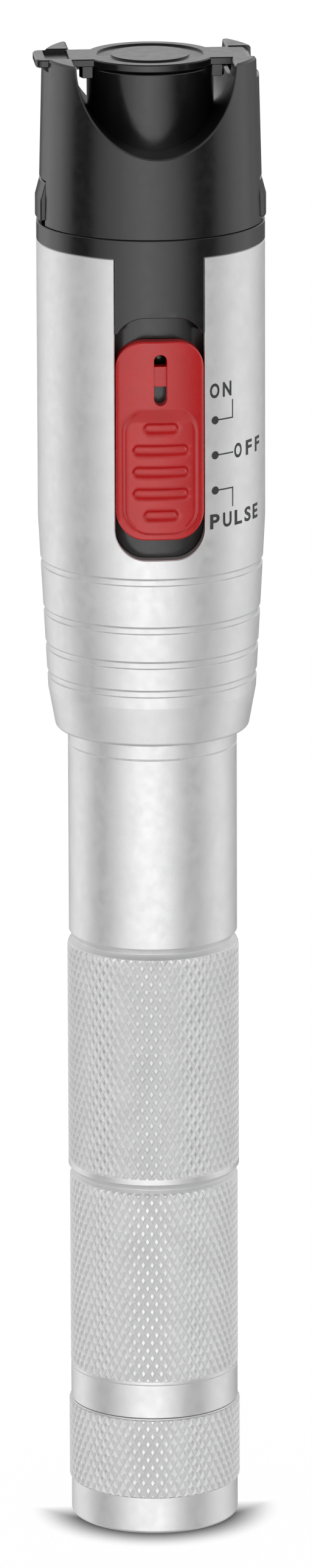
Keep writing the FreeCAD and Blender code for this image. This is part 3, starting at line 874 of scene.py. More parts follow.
def carrier_ring(build):
    """Ring on top of the head with the tongue in front, on the head's own radius."""
    inner_r = SPIGOT_R - FIT_GAP
    outer, inner = wrap(HEAD_R), wrap(inner_r)
    edge_u = HEAD_R * math.asin((SLOT_HALF - FIT_GAP) / HEAD_R)
    line = lap_line(HEAD_TOP)
    tongue = [Vector((HEAD_R * math.asin(x / HEAD_R), z)) for x, z in tongue_path()]
    before = [spot for spot in line if spot.x < -edge_u - 0.2]
    after = [spot for spot in line if spot.x > edge_u + 0.2]
    outer_path = before + tongue + after
    inner_tongue = [Vector((angle_at_x(u, HEAD_R, inner_r), v)) for u, v in tongue]
    edges = edge_u, inner_tongue[-1].x
    inner_path = squeezed(before, *edges) + inner_tongue + squeezed(after, *edges)
    low_out, low_in = through(build, outer_path, inner_path, outer, inner, FINE_BEVEL, lap=True)
    top = lap_line(COLLAR_Z)[::-1]
    top_out, top_in = through(build, top, top, outer, inner, FINE_BEVEL, lap=True)
    lap_fill(build, low_out, top_out, [], outer, 0.55)
    lap_fill(build, low_in, top_in, [], inner, 1.2)


def lug_r(z):
    """Radius of a lug's outer face, which slopes in at the top."""
    share = max(0, (z - LUG_STRAIGHT) / (LUG_TOP - LUG_STRAIGHT))
    return LUG_R + (LUG_SLOPE_R - LUG_R) * share


def side_face(side, radius):
    """Face of a cylinder, seen flat from one side: u is y."""
    def place(u, v):
        r = radius(v)
        return Vector((side * math.sqrt(r * r - u * u), u, v))
    return place


def lug(build, side):
    path = plate_path(LUG_HALF, LUG_Z, LUG_TOP, 0.15, 0.15, 0.5)
    outer, inner = side_face(side, lug_r), side_face(side, lambda z: SPIGOT_R - FIT_GAP)
    face, root = through(build, path, path, outer, inner, BEVEL)
    fill(build, [face], outer, 0.4)
    fill(build, [root], inner, 0.8)


def inner_carrier(paint):
    build = Build()
    carrier_tube(build)
    carrier_ring(build)
    lug(build, 1)
    lug(build, -1)
    return make_piece(build, "carrier_skin", "housing", paint, ["inner_carrier"])


# Collar


def collar_r(z):
    share = (z - COLLAR_Z) / (COLLAR_TOP - COLLAR_Z)
    return COLLAR_LOW_R + (COLLAR_TOP_R - COLLAR_LOW_R) * share


def channel(u, v):
    """Surface of the channel across the collar: u runs down and up its section, v is y."""
    turned = u / CHANNEL_R + math.pi / 2
    return Vector((
        SCALLOP_HALF * math.cos(turned),
        v,
        COLLAR_TOP - SCALLOP_DEPTH * math.sin(turned),
    ))


def channel_u(turned):
    return CHANNEL_R * (turned - math.pi / 2)


def scallop_run(back):
    """Spots (outside, channel) along one open end of the channel, from right to left."""
    run = []
    steps = 60
    for n in range(steps + 1):
        turned = math.pi * n / steps
        x, _, z = channel(channel_u(turned), 0)
        r = collar_r(z)
        angle = math.asin(x / r)
        y = -r * math.cos(angle)
        if back:
            angle = math.copysign(math.pi, x) - angle
            y = -y
        run.append((Vector((HEAD_R * angle, z)), Vector((channel_u(turned), y))))
    return run


def horn_run(side, floor):
    """Spots (outside, channel) over one side of the nose, from its front to its back."""
    corner = math.sqrt(collar_r(COLLAR_TOP) ** 2 - SCALLOP_HALF ** 2)
    steps = 6
    front = [(-corner + (corner - NOTCH_HALF) * n / steps, COLLAR_TOP) for n in range(1, steps + 1)]
    front.append((-NOTCH_HALF, (COLLAR_TOP + floor) / 2))
    front += [(-NOTCH_HALF * (1 - n / steps), floor) for n in range(steps)]
    spots = front + [(0, floor)] + [(-y, z) for y, z in reversed(front)]
    run = []
    for y, z in spots:
        angle = math.acos(-y / collar_r(z))
        turned = math.asin(min(1, (COLLAR_TOP - z) / SCALLOP_DEPTH))
        u = channel_u(turned if side > 0 else math.pi - turned)
        run.append((Vector((side * HEAD_R * angle, z)), Vector((u, y))))
    return run


def collar_top_loop():
    """Upper edge from the middle of the back over the right, the front and the left."""
    back = scallop_run(True)
    half = len(back) // 2
    start = back[half]
    first = (Vector((HALF_LAP, start[0].y)), start[1])
    last = (Vector((-HALF_LAP, start[0].y)), start[1])
    pairs = [first] + back[:half][::-1] + horn_run(1, HINGE_NOTCH_Z)[::-1]
    pairs += scallop_run(False) + horn_run(-1, TAB_NOTCH_Z) + back[half + 1:][::-1] + [last]
    return halves(pairs)


def side_window_pairs(side):
    """Points (outer, inner) round a side window that is open below, with rising angle."""
    quarter = HALF_LAP / 2
    run = []
    top_in = HEAD_R * math.acos(SIDE_HALF / HEAD_BORE_R)
    for z in (COLLAR_Z, COLLAR_Z + 1.7, COLLAR_Z + 3.4, SIDE_TOP):
        run.append((HEAD_R * math.acos(SIDE_HALF / collar_r(z)), top_in, z))
    top_out = run[-1][0]
    for n in range(1, 7):
        out = top_out + (quarter - top_out) * n / 6
        run.append((out, top_in + (quarter - top_in) * n / 6, SIDE_TOP))
    whole = run + [(HALF_LAP - out, HALF_LAP - into, z) for out, into, z in reversed(run[:-1])]
    return [(Vector((side * out, z)), Vector((side * into, z))) for out, into, z in whole]


def collar_low_loop():
    """Lower edge, left to right, with both side windows."""
    line = lap_line(COLLAR_Z)
    left = side_window_pairs(-1)[::-1]
    right = side_window_pairs(1)
    pairs = []
    edges = (left[0][1].x, left[-1][1].x, right[0][1].x, right[-1][1].x)
    pairs += [(spot, spot) for spot in line if spot.x < edges[0] - 0.2]
    pairs += left
    pairs += [(spot, spot) for spot in line if edges[1] + 0.2 < spot.x < edges[2] - 0.2]
    pairs += right
    pairs += [(spot, spot) for spot in line if spot.x > edges[3] + 0.2]
    return halves(pairs)


def well_spot(angle):
    """Flat spot on the channel where the boss's well comes up at an angle."""
    x, y = WELL_R * math.sin(angle), -WELL_R * math.cos(angle)
    return Vector((channel_u(math.acos(x / SCALLOP_HALF)), y))


def nose_collar(paint):
    build = Build()
    outer, inner = wrap(collar_r), wrap(HEAD_BORE_R)
    top_out, top_in = through(build, *collar_top_loop(), outer, channel, RIM_BEVEL, lap=True)
    low_out, low_in = through(build, *collar_low_loop(), outer, inner, FINE_BEVEL, lap=True)
    well = [well_spot(FULL * n / TURNS - math.pi) for n in range(TURNS)]
    well_top = build.ring([channel(*spot) for spot in well])
    well_low, bore_top = turn(build, [(WELL_R, WELL_Z), (HEAD_BORE_R, WELL_Z)], closed=False)
    build.strip(well_top, well_low)
    fill(build, [(top_in[0][:-1], top_in[1][:-1]), (well, well_top)], channel, 0.5)
    bore_loop = lap_line(WELL_Z)[::-1], (bore_top + bore_top[:1])[::-1]
    lap_fill(build, low_out, top_out, [], outer, 0.5)
    lap_fill(build, low_in, bore_loop, [], inner, 0.9)
    names = ["nose_collar"]
    return make_piece(build, "collar_skin", "housing", paint, names, COLLAR_CREASE)


def port_housing(paint):
    build = Build()
    turn(build, rounded([
        (PORT_HOLE_R, BOSS_BASE, 0),
        (SPIGOT_R, BOSS_BASE, 0.1),
        (SPIGOT_R, WELL_Z, 0.15),
        (BOSS_R, WELL_Z, 0.3),
        (BOSS_R, BOSS_TOP, 0.18),
        (BOSS_CUP_R, BOSS_TOP, 0.12),
        (BOSS_CUP_R, BOSS_TOP - 1.0, 0.15),
        (PORT_HOLE_R, BOSS_TOP - 1.0, 0.05),
    ]))
    return make_piece(build, "boss_skin", "housing", paint, ["port_housing"])


# Lid


def lid_outline():
    """Disc with the strip and the tab across it, with its inside to the left."""
    half = STRIP_HALF
    meet = math.degrees(math.asin(half / LID_R))
    arc = [math.radians(meet + (180 - 2 * meet) * n / 30) for n in range(31)]
    back = [(LID_R * math.cos(angle), LID_R * math.sin(angle), 0) for angle in arc]
    front = [(-x, -y, 0) for x, y, _ in back]
    corners = [(HINGE_X, -half, 0), (HINGE_X, half, 0)] + back
    corners += [(-TAB_REACH, half, TAB_ROUND), (-TAB_REACH, -half, TAB_ROUND)] + front
    return dense(rounded(corners), 0.7)


def lid_plate(build):
    top, bottom = level(LID_TOP), level(LID_TOP - LID_T)
    upper, lower = through(build, lid_outline(), lid_outline(), top, bottom, 0.13)
    floor = level(LID_TOP - LID_RING_DEPTH)
    wide = disc_path(0, 0, LID_RING[0], 96)[::-1]
    narrow = disc_path(0, 0, LID_RING[1], 96)
    wide_top, wide_floor = step_down(build, wide, top, floor, 0.05, 0.04)
    narrow_top, narrow_floor = step_down(build, narrow, top, floor, 0.05, 0.04)
    dip = dense(rounded([
        (-DIP_OUT, -DIP_FRONT, 0.4),
        (-DIP_OUT, DIP_BACK, 0.4),
        (-DIP_IN, DIP_BACK, 0.3),
        (-DIP_IN, -DIP_FRONT, 0.3),
    ]), 0.5)
    dip_floor = level(LID_TOP - DIP_DEPTH)
    dip_top, dip_low = step_down(build, dip, top, dip_floor, 0.06, 0.08)
    fill(build, [upper, wide_top, dip_top], top, 0.8)
    fill(build, [narrow_top], top, 0.9)
    fill(build, [wide_floor, narrow_floor], floor, 0.8)
    fill(build, [dip_low], dip_floor, 0.6)
    fill(build, [lower], bottom, 1.2)


def knuckle(build):
    """Round rod along Y with a hole for the pin."""
    profile = rounded([
        (PIN_HOLE_R, -STRIP_HALF, 0),
        (KNUCKLE_R, -STRIP_HALF, 0.1),
        (KNUCKLE_R, STRIP_HALF, 0.1),
        (PIN_HOLE_R, STRIP_HALF, 0),
    ])
    steps = 40
    rings = []
    for r, y in profile:
        ring = []
        for n in range(steps):
            angle = FULL * n / steps
            ring.append((HINGE_X + r * math.cos(angle), y, HINGE_Z + r * math.sin(angle)))
        rings.append(build.ring(ring))
    build.strips(rings + rings[:1])


def foot_path(side_x, side_y):
    """Outline of one foot: a piece of a ring beside the edge of the strip."""
    path = []
    for r, order in ((FOOT_OUT, 1), (FOOT_IN, -1)):
        spots = []
        for n in range(5):
            y = STRIP_HALF - FOOT_W * n / 4 - 0.02
            spots.append(Vector((side_x * math.sqrt(r * r - y * y), side_y * y)))
        path += spots[::order]
    area = sum(a.x * b.y - b.x * a.y for a, b in zip(path, path[1:] + path[:1]))
    return path if area > 0 else path[::-1]


def dust_lid(paint):
    build = Build()
    lid_plate(build)
    knuckle(build)
    root, tip = level(LID_TOP - LID_T + 0.1), level(LID_TOP - LID_T - FOOT_H)
    for side_x in (-1, 1):
        for side_y in (-1, 1):
            path = foot_path(side_x, side_y)
            upper, lower = through(build, path, path, root, tip, 0.06)
            fill(build, [upper], root, 0.5)
            fill(build, [lower], tip, 0.5)
    return make_piece(build, "lid_skin", "lid", paint, ["dust_lid"])


# Slider


def pad_height(u, v):
    """Radius of the grip pad, which slopes down at its upper end."""
    rise = PAD_R - SLIDER_R
    return SLIDER_R + rise * min(1, max(0.06, (PAD_TOP - v) / PAD_RAMP))


def rib_paths():
    first = (PAD_Z + PAD_TOP - RIB_PITCH * (RIB_COUNT - 1)) / 2
    paths = []
    for n in range(RIB_COUNT):
        z = first + RIB_PITCH * n
        half = RIB_SHORT if n in (0, RIB_COUNT - 1) else RIB_LONG
        paths.append(plate_path(half, z - RIB_HALF_H, z + RIB_HALF_H, RIB_HALF_H, RIB_HALF_H, 0.4)[::-1])
    return paths


def pad_and_ribs(build, base):
    pad = facing(pad_height)
    floor = facing(PAD_R - RIB_DEPTH)
    path = plate_path(PAD_HALF, PAD_Z, PAD_TOP, PAD_ROUND, PAD_ROUND, 0.4)
    pad_loop, foot_loop = step_down(build, path, pad, base, 0.16, 0.12, 0.12)
    holes = []
    for rib in rib_paths():
        rim, bed = step_down(build, rib, pad, floor, 0.08, 0.08, 0.26)
        holes.append(rim)
        fill(build, [bed], floor, 0.35)
    fill(build, [pad_loop] + holes, pad, 0.35)
    return foot_loop


def window_bridge(build):
    """Sunk floor of the window between its two holes."""
    low, high = WINDOW_Z + HOLE_LOW, WINDOW_TOP - HOLE_TOP
    path = plate_path(WINDOW_HALF + 0.03, low, high, 0, 0, 0.4)
    top, bottom = facing(SLIDER_R - WINDOW_DEPTH), facing(SLIDER_IN_R + 0.02)
    upper, lower = through(build, path, path, top, bottom, 0.04)
    fill(build, [upper], top, 0.35)
    fill(build, [lower], bottom, 0.5)


def switch_slider(paint):
    build = Build()
    base, back = facing(SLIDER_R), facing(SLIDER_IN_R)
    outline = plate_path(SLIDER_HALF, SLIDER_Z, SLIDER_TOP, SLIDER_ROUND, SLIDER_ROUND, 0.5)
    front_loop, back_loop = through(build, outline, outline, base, back, 0.15)
    window = plate_path(WINDOW_HALF, WINDOW_Z, WINDOW_TOP, WINDOW_HALF, WINDOW_HALF, 0.4)[::-1]
    window_front, window_back = through(build, window, window, base, back, 0.05)
    foot_loop = pad_and_ribs(build, base)
    fill(build, [front_loop, window_front, foot_loop], base, 0.35)
    fill(build, [back_loop, window_back], back, 0.8)
    window_bridge(build)
    return make_piece(build, "slider_skin", "slider", paint, ["switch_slider"])


# Printed marks beside the slider

INK_LIFT = 0.012
DOT_R = 0.475
DOT_ANGLE = 29.1
DOT_HEIGHTS = (132.9, 128.85, 124.76)
LINE_HALF = 0.08
LEADER_ANGLE = 40.8
LEADER_UP = 135.0
LEADER_DOWN = 122.55
LETTER_H = 1.72
WORDS = (
    ("ON", 26.0, 135.45, 1.79),
    ("OFF", 41.6, 128.05, 2.1),
    ("PULSE", 26.0, 120.3, 1.79),
)


def ink_surface(u, v):
    return wrap(HEAD_R + INK_LIFT)(u, v)


def printed(build, path):
    ring = build.ring([ink_surface(*point) for point in path])
    fill(build, [(path, ring)], ink_surface, 0.3)


def bar(build, u_low, u_high, v_low, v_high):
    corners = [(u_low, v_low, 0), (u_high, v_low, 0), (u_high, v_high, 0), (u_low, v_high, 0)]
    printed(build, dense(rounded(corners), 0.25))


def leaders(build):
    start = HEAD_R * math.radians(DOT_ANGLE)
    corner = HEAD_R * math.radians(LEADER_ANGLE)
    for z, far_z in zip(DOT_HEIGHTS, (LEADER_UP, None, LEADER_DOWN)):
        printed(build, disc_path(start, z, DOT_R, 32))
        bar(build, start + 0.9 * DOT_R, corner, z - LINE_HALF, z + LINE_HALF)
        if far_z is not None:
            bar(build, corner - 2 * LINE_HALF, corner, *sorted((z, far_z)))


def letter_mesh(text):
    """Flat mesh of one letter from the built-in face, with its own width and height."""
    curve = bpy.data.curves.new("letter", "FONT")
    curve.body = text
    curve.offset = 0.03
    curve.resolution_u = 4
    holder = bpy.data.objects.new("letter", curve)
    bpy.context.scene.collection.objects.link(holder)
    bpy.context.view_layer.update()
    mesh = bpy.data.meshes.new_from_object(holder.evaluated_get(bpy.context.evaluated_depsgraph_get()))
    bpy.data.objects.remove(holder)
    return mesh


def add_letter(build, text, u, z, width):
    """Wraps one letter, stretched to the given width, round the head."""
    mesh = letter_mesh(text)
    work = bmesh.new()
    work.from_mesh(mesh)
    xs = [vert.co.x for vert in work.verts]
    ys = [vert.co.y for vert in work.verts]
    scale_x = width / (max(xs) - min(xs))
    scale_y = LETTER_H / (max(ys) - min(ys))
    left, base = min(xs), min(ys)
    for vert in work.verts:
        vert.co.x = u + (vert.co.x - left) * scale_x
        vert.co.y = z + (vert.co.y - base) * scale_y
    for n in range(1, 6):
        everything = work.verts[:] + work.edges[:] + work.faces[:]
        spot = (u + width * n / 6, 0, 0)
        bmesh.ops.bisect_plane(work, geom=everything, plane_co=spot, plane_no=(1, 0, 0))
    names = {vert: build.ring([ink_surface(vert.co.x, vert.co.y)])[0] for vert in work.verts}
    for face in work.faces:
        build.face(*[names[vert] for vert in face.verts])
    work.free()


def printed_marks(paint):
    build = Build()
    leaders(build)
    for word, angle, z, pitch in WORDS:
        for n, letter in enumerate(word):
            u = HEAD_R * math.radians(angle) + n * pitch
            add_letter(build, letter, u, z, 1.3)
    return make_piece(build, "printed_marks", "housing", paint)


# Materials


def maths(tree, operation, *inputs):
    node = tree.nodes.new("ShaderNodeMath")
    node.operation = operation
    for socket, value in zip(node.inputs, inputs):
        if hasattr(value, "is_linked"):
            tree.links.new(value, socket)
        else:
            socket.default_value = value
    return node.outputs[0]


def map_range(tree, source, from_low, from_high, low=0, high=1):
    node = tree.nodes.new("ShaderNodeMapRange")
    node.inputs["From Min"].default_value = from_low
    node.inputs["From Max"].default_value = from_high
    node.inputs["To Min"].default_value = low
    node.inputs["To Max"].default_value = high
    tree.links.new(source, node.inputs["Value"])
    return node.outputs["Result"]


class Paint:
    """A Principled material and short ways to add nodes to it."""

    def __init__(self, name, colour, metallic, rough):
        self.material = bpy.data.materials.new(name)
        self.material.use_nodes = True
        self.tree = self.material.node_tree
        self.shader = self.tree.nodes["Principled BSDF"]
        self.shader.inputs["Metallic"].default_value = metallic
        self.colour = colour
        self.rough = rough
        coords = self.tree.nodes.new("ShaderNodeTexCoord")
        self.place = coords.outputs["Object"]

    def link(self, output, target):
        self.tree.links.new(output, target)

    def noise(self, per_mm, detail, rough=0.5):
        """Noise with about this many cells in a millimetre."""
        node = self.tree.nodes.new("ShaderNodeTexNoise")
        node.inputs["Scale"].default_value = per_mm / MM
        node.inputs["Detail"].default_value = detail
        node.inputs["Roughness"].default_value = rough
        self.link(self.place, node.inputs["Vector"])
        return node.outputs["Fac"]

    def spread(self, noise, low, high):
        """Brings the middle of a noise to the range from low to high."""
        return map_range(self.tree, noise, 0.3, 0.7, low, high)

    def mixed(self, share, low, high):
        """Colour between two others; the lower one is a plain colour or a node's output."""
        node = self.tree.nodes.new("ShaderNodeMix")
        node.data_type = "RGBA"
        self.link(share, node.inputs["Factor"])
        if isinstance(low, tuple):
            node.inputs["A"].default_value = (*low, 1)
        else:
            self.link(low, node.inputs["A"])
        node.inputs["B"].default_value = (*high, 1)
        return node.outputs["Result"]

    def painted_hollow_shade(self, share):
        """Painted shade: rises from 0 on flat faces to the share in hollows."""
        geometry = self.tree.nodes.new("ShaderNodeNewGeometry")
        return map_range(self.tree, geometry.outputs["Pointiness"], 0.47, 0.41, 0, share)

    def outer_edges(self, share):
        """Rises from 0 on flat faces to the share on the narrow line of an outer edge."""
        geometry = self.tree.nodes.new("ShaderNodeNewGeometry")
        eased = self.tree.nodes.new("ShaderNodeBevel")
        eased.samples = 4
        eased.inputs["Radius"].default_value = WEAR_WIDTH * MM
        turned = self.tree.nodes.new("ShaderNodeVectorMath")
        turned.operation = "DOT_PRODUCT"
        self.link(eased.outputs["Normal"], turned.inputs[0])
        self.link(geometry.outputs["Normal"], turned.inputs[1])
        line = map_range(self.tree, turned.outputs["Value"], 0.995, 0.93, 0, share)
        outward = map_range(self.tree, geometry.outputs["Pointiness"], 0.5, 0.52)
        return maths(self.tree, "MULTIPLY", line, outward)

    def bump(self, source, height_mm):
        node = self.tree.nodes.new("ShaderNodeBump")
        node.inputs["Distance"].default_value = height_mm * MM
        node.inputs["Strength"].default_value = 1.0
        self.link(source, node.inputs["Height"])
        self.link(node.outputs["Normal"], self.shader.inputs["Normal"])

    def finish(self, vary, blotch, rough_vary, grain, grain_mm, wear=None, hollow_shade=None):
        """Cloudy colour, uneven roughness, fine grain and, if asked, a worn tone at outer edges and
        painted shade in hollows.
        """
        shade = tuple(max(0, channel * (1 - vary)) for channel in self.colour)
        light = tuple(min(1, channel * (1 + vary)) for channel in self.colour)
        cloud = self.spread(self.noise(blotch, 4), 0, 1)
        colour = self.mixed(cloud, shade, light)
        if wear:
            colour = self.mixed(self.outer_edges(wear[1]), colour, wear[0])
        # darker tone in hollows: painted shade
        if hollow_shade:
            colour = self.mixed(self.painted_hollow_shade(hollow_shade[1]), colour, hollow_shade[0])
        self.link(colour, self.shader.inputs["Base Color"])
        uneven = self.noise(blotch * 3, 3)
        self.link(
            self.spread(uneven, self.rough - rough_vary, self.rough + rough_vary),
            self.shader.inputs["Roughness"],
        )
        self.bump(self.noise(grain, 3, 0.6), grain_mm)
        return self.material


def anodised():
    paint = Paint("blasted anodised aluminium", (0.82, 0.82, 0.825), 0.85, 0.47)
    wear = (0.95, 0.95, 0.95), 0.7
    # Knurl valleys and grooves get a darker tone: painted shade in the hollows.
    hollow_shade = (0.42, 0.42, 0.425), 0.8
    return paint.finish(0.03, 0.3, 0.04, 5.0, 0.012, wear, hollow_shade)


def satin_black():
    paint = Paint("satin black plastic", (0.008, 0.008, 0.0084), 0.0, 0.21)
    paint.shader.inputs["IOR"].default_value = 1.6
    return paint.finish(0.2, 0.3, 0.04, 5.0, 0.006, ((0.06, 0.06, 0.06), 0.5))


def satin_red():
    paint = Paint("satin red plastic", (0.66, 0.006, 0.008), 0.0, 0.26)
    paint.shader.inputs["IOR"].default_value = 1.6
    return paint.finish(0.05, 0.35, 0.03, 5.0, 0.004, ((0.7, 0.02, 0.025), 0.4))


def ink():
    paint = Paint("dark grey ink", (0.045, 0.045, 0.048), 0.0, 0.55)
    return paint.finish(0.35, 2.0, 0.05, 8.0, 0.003)


def metal(name, colour, rough):
    return Paint(name, colour, 1.0, rough).finish(0.05, 0.4, 0.05, 6.0, 0.004, (colour, 0.1))


def plastic(name, colour, rough):
    return Paint(name, colour, 0.0, rough).finish(0.08, 0.5, 0.05, 5.0, 0.004)


def glass(name, colour, rough):
    paint = Paint(name, colour, 0.0, rough)
    paint.shader.inputs["Transmission Weight"].default_value = 0.9
    paint.shader.inputs["IOR"].default_value = 1.5
    return paint.finish(0.02, 0.5, 0.01, 4.0, 0.001)


def inner_paints():
    steel = metal("drawn steel wire", (0.6, 0.6, 0.6), 0.28)
    polished = metal("turned steel", (0.72, 0.72, 0.72), 0.2)
    brass = metal("turned brass", (0.78, 0.6, 0.3), 0.26)
    tin = metal("tinned steel", (0.66, 0.66, 0.66), 0.35)
    board = plastic("green solder mask", (0.02, 0.2, 0.06), 0.35)
    jacket = plastic("cell jacket", (0.06, 0.06, 0.07), 0.3)
    return {
        "spring_seat": brass,
        "tail_spring": steel,
        "tail_o_ring": plastic("black rubber", (0.015, 0.015, 0.015), 0.55),
        "battery_rear": jacket,
        "battery_front": jacket,
        "lid_hinge_pin": steel,
        "ferrule_port": polished,
        "alignment_sleeve": plastic("white ceramic", (0.86, 0.85, 0.82), 0.15),
        "laser_mount": brass,
        "focusing_lens": glass("lens glass", (0.9, 0.95, 0.97), 0.03),
        "laser_diode": metal("gold plate", (0.85, 0.66, 0.33), 0.2),
        "circuit_board": board,
        "contact_disc": board,
        "slide_switch": tin,
        "switch_lever": plastic("black lever", (0.02, 0.02, 0.02), 0.4),
        "indicator_led": glass("green resin", (0.02, 0.2, 0.03), 0.12),
        "driver_chip": plastic("chip epoxy", (0.02, 0.02, 0.02), 0.45),
        "positive_contact": brass,
    }


def dress_inner_nodes():
    """The hidden pieces keep their CAD shape and get a finer finish."""
    for name, paint in inner_paints().items():
        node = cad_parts[name]
        node.data.materials.clear()
        node.data.materials.append(paint)


# Studio

# Brightness of the surroundings that upright faces mirror, by direction round the axis:
# 0 degrees is straight towards the camera and the angles grow to the right.
STUDIO_RING = (
    (-180, 0.08), (-162, 0.2), (-146, 0.8), (-128, 1.4), (-108, 1.55), (-94, 0.9),
    (-84, 0.1), (-66, 0.1), (-54, 0.9), (-38, 1.4), (-20, 2.0), (-4, 2.4),
    (12, 2.0), (28, 1.35), (40, 0.6), (50, 0.1), (64, 0.12), (80, 0.95),
    (98, 1.4), (112, 1.3), (132, 0.65), (152, 0.3), (180, 0.08),
)
# Brightness of the rest of the surroundings by height, from straight down to straight up
STUDIO_DOME = (
    (0.0, 0.4), (0.15, 0.75), (0.3, 1.15), (0.5, 1.65), (0.57, 1.0),
    (0.66, 0.98), (0.79, 1.0), (0.89, 0.4), (1.0, 0.25),
)
# Share of the ring by height
STUDIO_BAND = ((0.17, 0.0), (0.27, 1.0), (0.46, 1.0), (0.54, 0.0))
# Painted contact shadow on the floor: its reach, front edge, tones and curve.
SHADOW_REACH = 5.0
SHADOW_FRONT = (-3.0, 1.5)
SHADOW_TONES = (0.5, 0.98)
SHADOW_CURVE = 1.3
FLOOR_HALF = 1500
FLOOR_DROP = 0.02
FLOOR_TONE = 0.85
FLOOR_SEEN = 0.6
CAMERA_TURN = 4.7
CAMERA_DOWN = 14.7
CAMERA_RUN = 1180.5
CAMERA_UP = 397.3
CAMERA_ROLL = 0.19
AIM_RIGHT_PX = 6
PHOTO_SIZE = (513, 2576)
FOCAL_PX = 17425.0
SENSOR = 36.0


def ramp(tree, stops, source):
    """Soft curve through (position, value) stops, as the output of a node."""
    node = tree.nodes.new("ShaderNodeValToRGB")
    node.color_ramp.interpolation = "EASE"
    elements = node.color_ramp.elements
    while len(elements) > 1:
        elements.remove(elements[-1])
    top = max(value for _, value in stops)
    for n, (spot, value) in enumerate(stops):
        element = elements[0] if n == 0 else elements.new(spot)
        element.position = spot
        element.color = (value / top,) * 3 + (1,)
    tree.links.new(source, node.inputs["Fac"])
    return maths(tree, "MULTIPLY", node.outputs["Color"], top)


def studio_world():
    """Soft surroundings for the object; the camera and clear glass see plain white."""
    world = bpy.data.worlds.new("studio")
    bpy.context.scene.world = world
    world.use_nodes = True
    tree = world.node_tree
    tree.nodes.clear()
    coords = tree.nodes.new("ShaderNodeTexCoord")
    parts = tree.nodes.new("ShaderNodeSeparateXYZ")
    tree.links.new(coords.outputs["Generated"], parts.inputs[0])
    back = maths(tree, "MULTIPLY", parts.outputs["Y"], -1)
    around = maths(tree, "ARCTAN2", parts.outputs["X"], back)
    turned = maths(tree, "ADD", around, math.radians(CAMERA_TURN))
    share = maths(tree, "FRACT", maths(tree, "ADD", maths(tree, "DIVIDE", turned, FULL), 0.5))
    up = maths(tree, "ADD", maths(tree, "MULTIPLY", parts.outputs["Z"], 0.5), 0.5)
    ring = ramp(tree, [((angle + 180) / 360, value) for angle, value in STUDIO_RING], share)
    dome = ramp(tree, STUDIO_DOME, up)
    band = ramp(tree, STUDIO_BAND, up)
    more = maths(tree, "MULTIPLY", maths(tree, "SUBTRACT", ring, dome), band)
    light = tree.nodes.new("ShaderNodeBackground")
    tree.links.new(maths(tree, "ADD", dome, more), light.inputs["Strength"])
    plain = tree.nodes.new("ShaderNodeBackground")
    plain.inputs["Strength"].default_value = 1.0
    plain.inputs["Color"].default_value = (1, 1, 1, 1)
    rays = tree.nodes.new("ShaderNodeLightPath")
    clear = maths(tree, "MAXIMUM", rays.outputs["Is Camera Ray"], rays.outputs["Is Transmission Ray"])
    mix = tree.nodes.new("ShaderNodeMixShader")
    tree.links.new(clear, mix.inputs[0])
    tree.links.new(light.outputs[0], mix.inputs[1])
    tree.links.new(plain.outputs[0], mix.inputs[2])
    out = tree.nodes.new("ShaderNodeOutputWorld")
    tree.links.new(mix.outputs[0], out.inputs["Surface"])


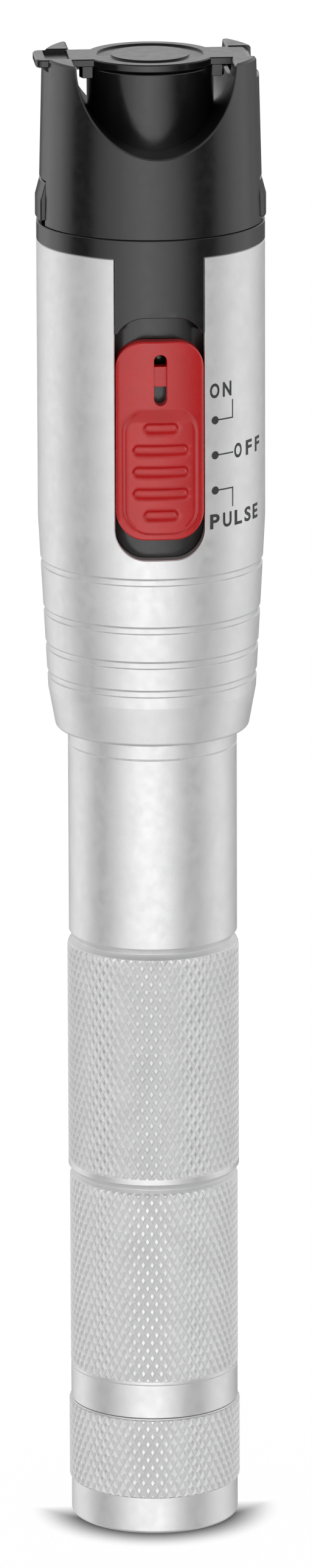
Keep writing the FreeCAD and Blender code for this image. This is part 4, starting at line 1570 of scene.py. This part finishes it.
def floor_paint():
    """Pale sheet; the camera sees it a little lighter, so that it meets the backdrop, and darker near
    the object in front of it: a painted contact shadow.
    """
    material = bpy.data.materials.new("pale sheet")
    material.use_nodes = True
    tree = material.node_tree
    shader = tree.nodes["Principled BSDF"]
    shader.inputs["Roughness"].default_value = 0.9
    rays = tree.nodes.new("ShaderNodeLightPath")
    seen = rays.outputs["Is Camera Ray"]
    tone = maths(tree, "SUBTRACT", FLOOR_TONE, maths(tree, "MULTIPLY", seen, FLOOR_SEEN))
    tree.links.new(tone, shader.inputs["Base Color"])
    # Painted contact shadow: ambient occlusion near the object dims the glow that the camera sees, in
    # front of the object only.
    near = tree.nodes.new("ShaderNodeAmbientOcclusion")
    near.samples = 16
    near.inputs["Distance"].default_value = SHADOW_REACH * MM
    open_sky = map_range(tree, near.outputs["AO"], *SHADOW_TONES)
    painted_shadow_level = maths(tree, "POWER", open_sky, SHADOW_CURVE)
    coords = tree.nodes.new("ShaderNodeTexCoord")
    parts = tree.nodes.new("ShaderNodeSeparateXYZ")
    tree.links.new(coords.outputs["Object"], parts.inputs[0])
    behind = map_range(tree, parts.outputs["Y"], *[y * MM for y in SHADOW_FRONT])
    painted_shadow_level = maths(tree, "MAXIMUM", painted_shadow_level, behind)
    glow = maths(tree, "MULTIPLY", maths(tree, "MULTIPLY", seen, painted_shadow_level), FLOOR_TONE)
    shader.inputs["Emission Color"].default_value = (1, 1, 1, 1)
    tree.links.new(glow, shader.inputs["Emission Strength"])
    return material


def studio_floor():
    half, low = FLOOR_HALF, -FLOOR_DROP
    corners = [(-half, -half, low), (half, -half, low), (half, half, low), (-half, half, low)]
    mesh = bpy.data.meshes.new("floor")
    mesh.from_pydata([Vector(corner) * MM for corner in corners], [], [(0, 1, 2, 3)])
    mesh.materials.append(floor_paint())
    floor = bpy.data.objects.new("floor", mesh)
    bpy.context.scene.collection.objects.link(floor)
    floor.visible_glossy = False
    floor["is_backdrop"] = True


def studio_camera():
    turned, down = math.radians(CAMERA_TURN), math.radians(CAMERA_DOWN)
    spot = Vector((-CAMERA_RUN * math.sin(turned), -CAMERA_RUN * math.cos(turned), CAMERA_UP)) * MM
    aim = turned + AIM_RIGHT_PX / FOCAL_PX
    ahead = Vector((math.sin(aim) * math.cos(down), math.cos(aim) * math.cos(down), -math.sin(down)))
    right = Vector((math.cos(aim), -math.sin(aim), 0))
    up = right.cross(ahead)
    roll = math.radians(CAMERA_ROLL)
    level_up = up * math.cos(roll) + right * math.sin(roll)
    level_right = right * math.cos(roll) - up * math.sin(roll)
    data = bpy.data.cameras.new("camera")
    data.sensor_fit = "VERTICAL"
    data.sensor_height = SENSOR
    data.lens = FOCAL_PX / PHOTO_SIZE[1] * SENSOR
    data.clip_end = 20
    camera = bpy.data.objects.new("camera", data)
    bpy.context.scene.collection.objects.link(camera)
    matrix = Matrix((level_right, level_up, -ahead)).transposed().to_4x4()
    matrix.translation = spot
    camera.matrix_world = matrix
    bpy.context.scene.camera = camera


def main():
    silver, black, red = anodised(), satin_black(), satin_red()
    head_shell(silver)
    battery_tube(silver)
    tail_cap(silver)
    inner_carrier(black)
    nose_collar(black)
    port_housing(black)
    dust_lid(black)
    switch_slider(red)
    printed_marks(ink())
    dress_inner_nodes()
    studio_world()
    studio_floor()
    studio_camera()
    bpy.context.scene.view_settings.view_transform = "Standard"


def plain(bounds):
    return [list(corner) for corner in bounds]


main()
size_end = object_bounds()
{"start": plain(size_start), "end": plain(size_end)}
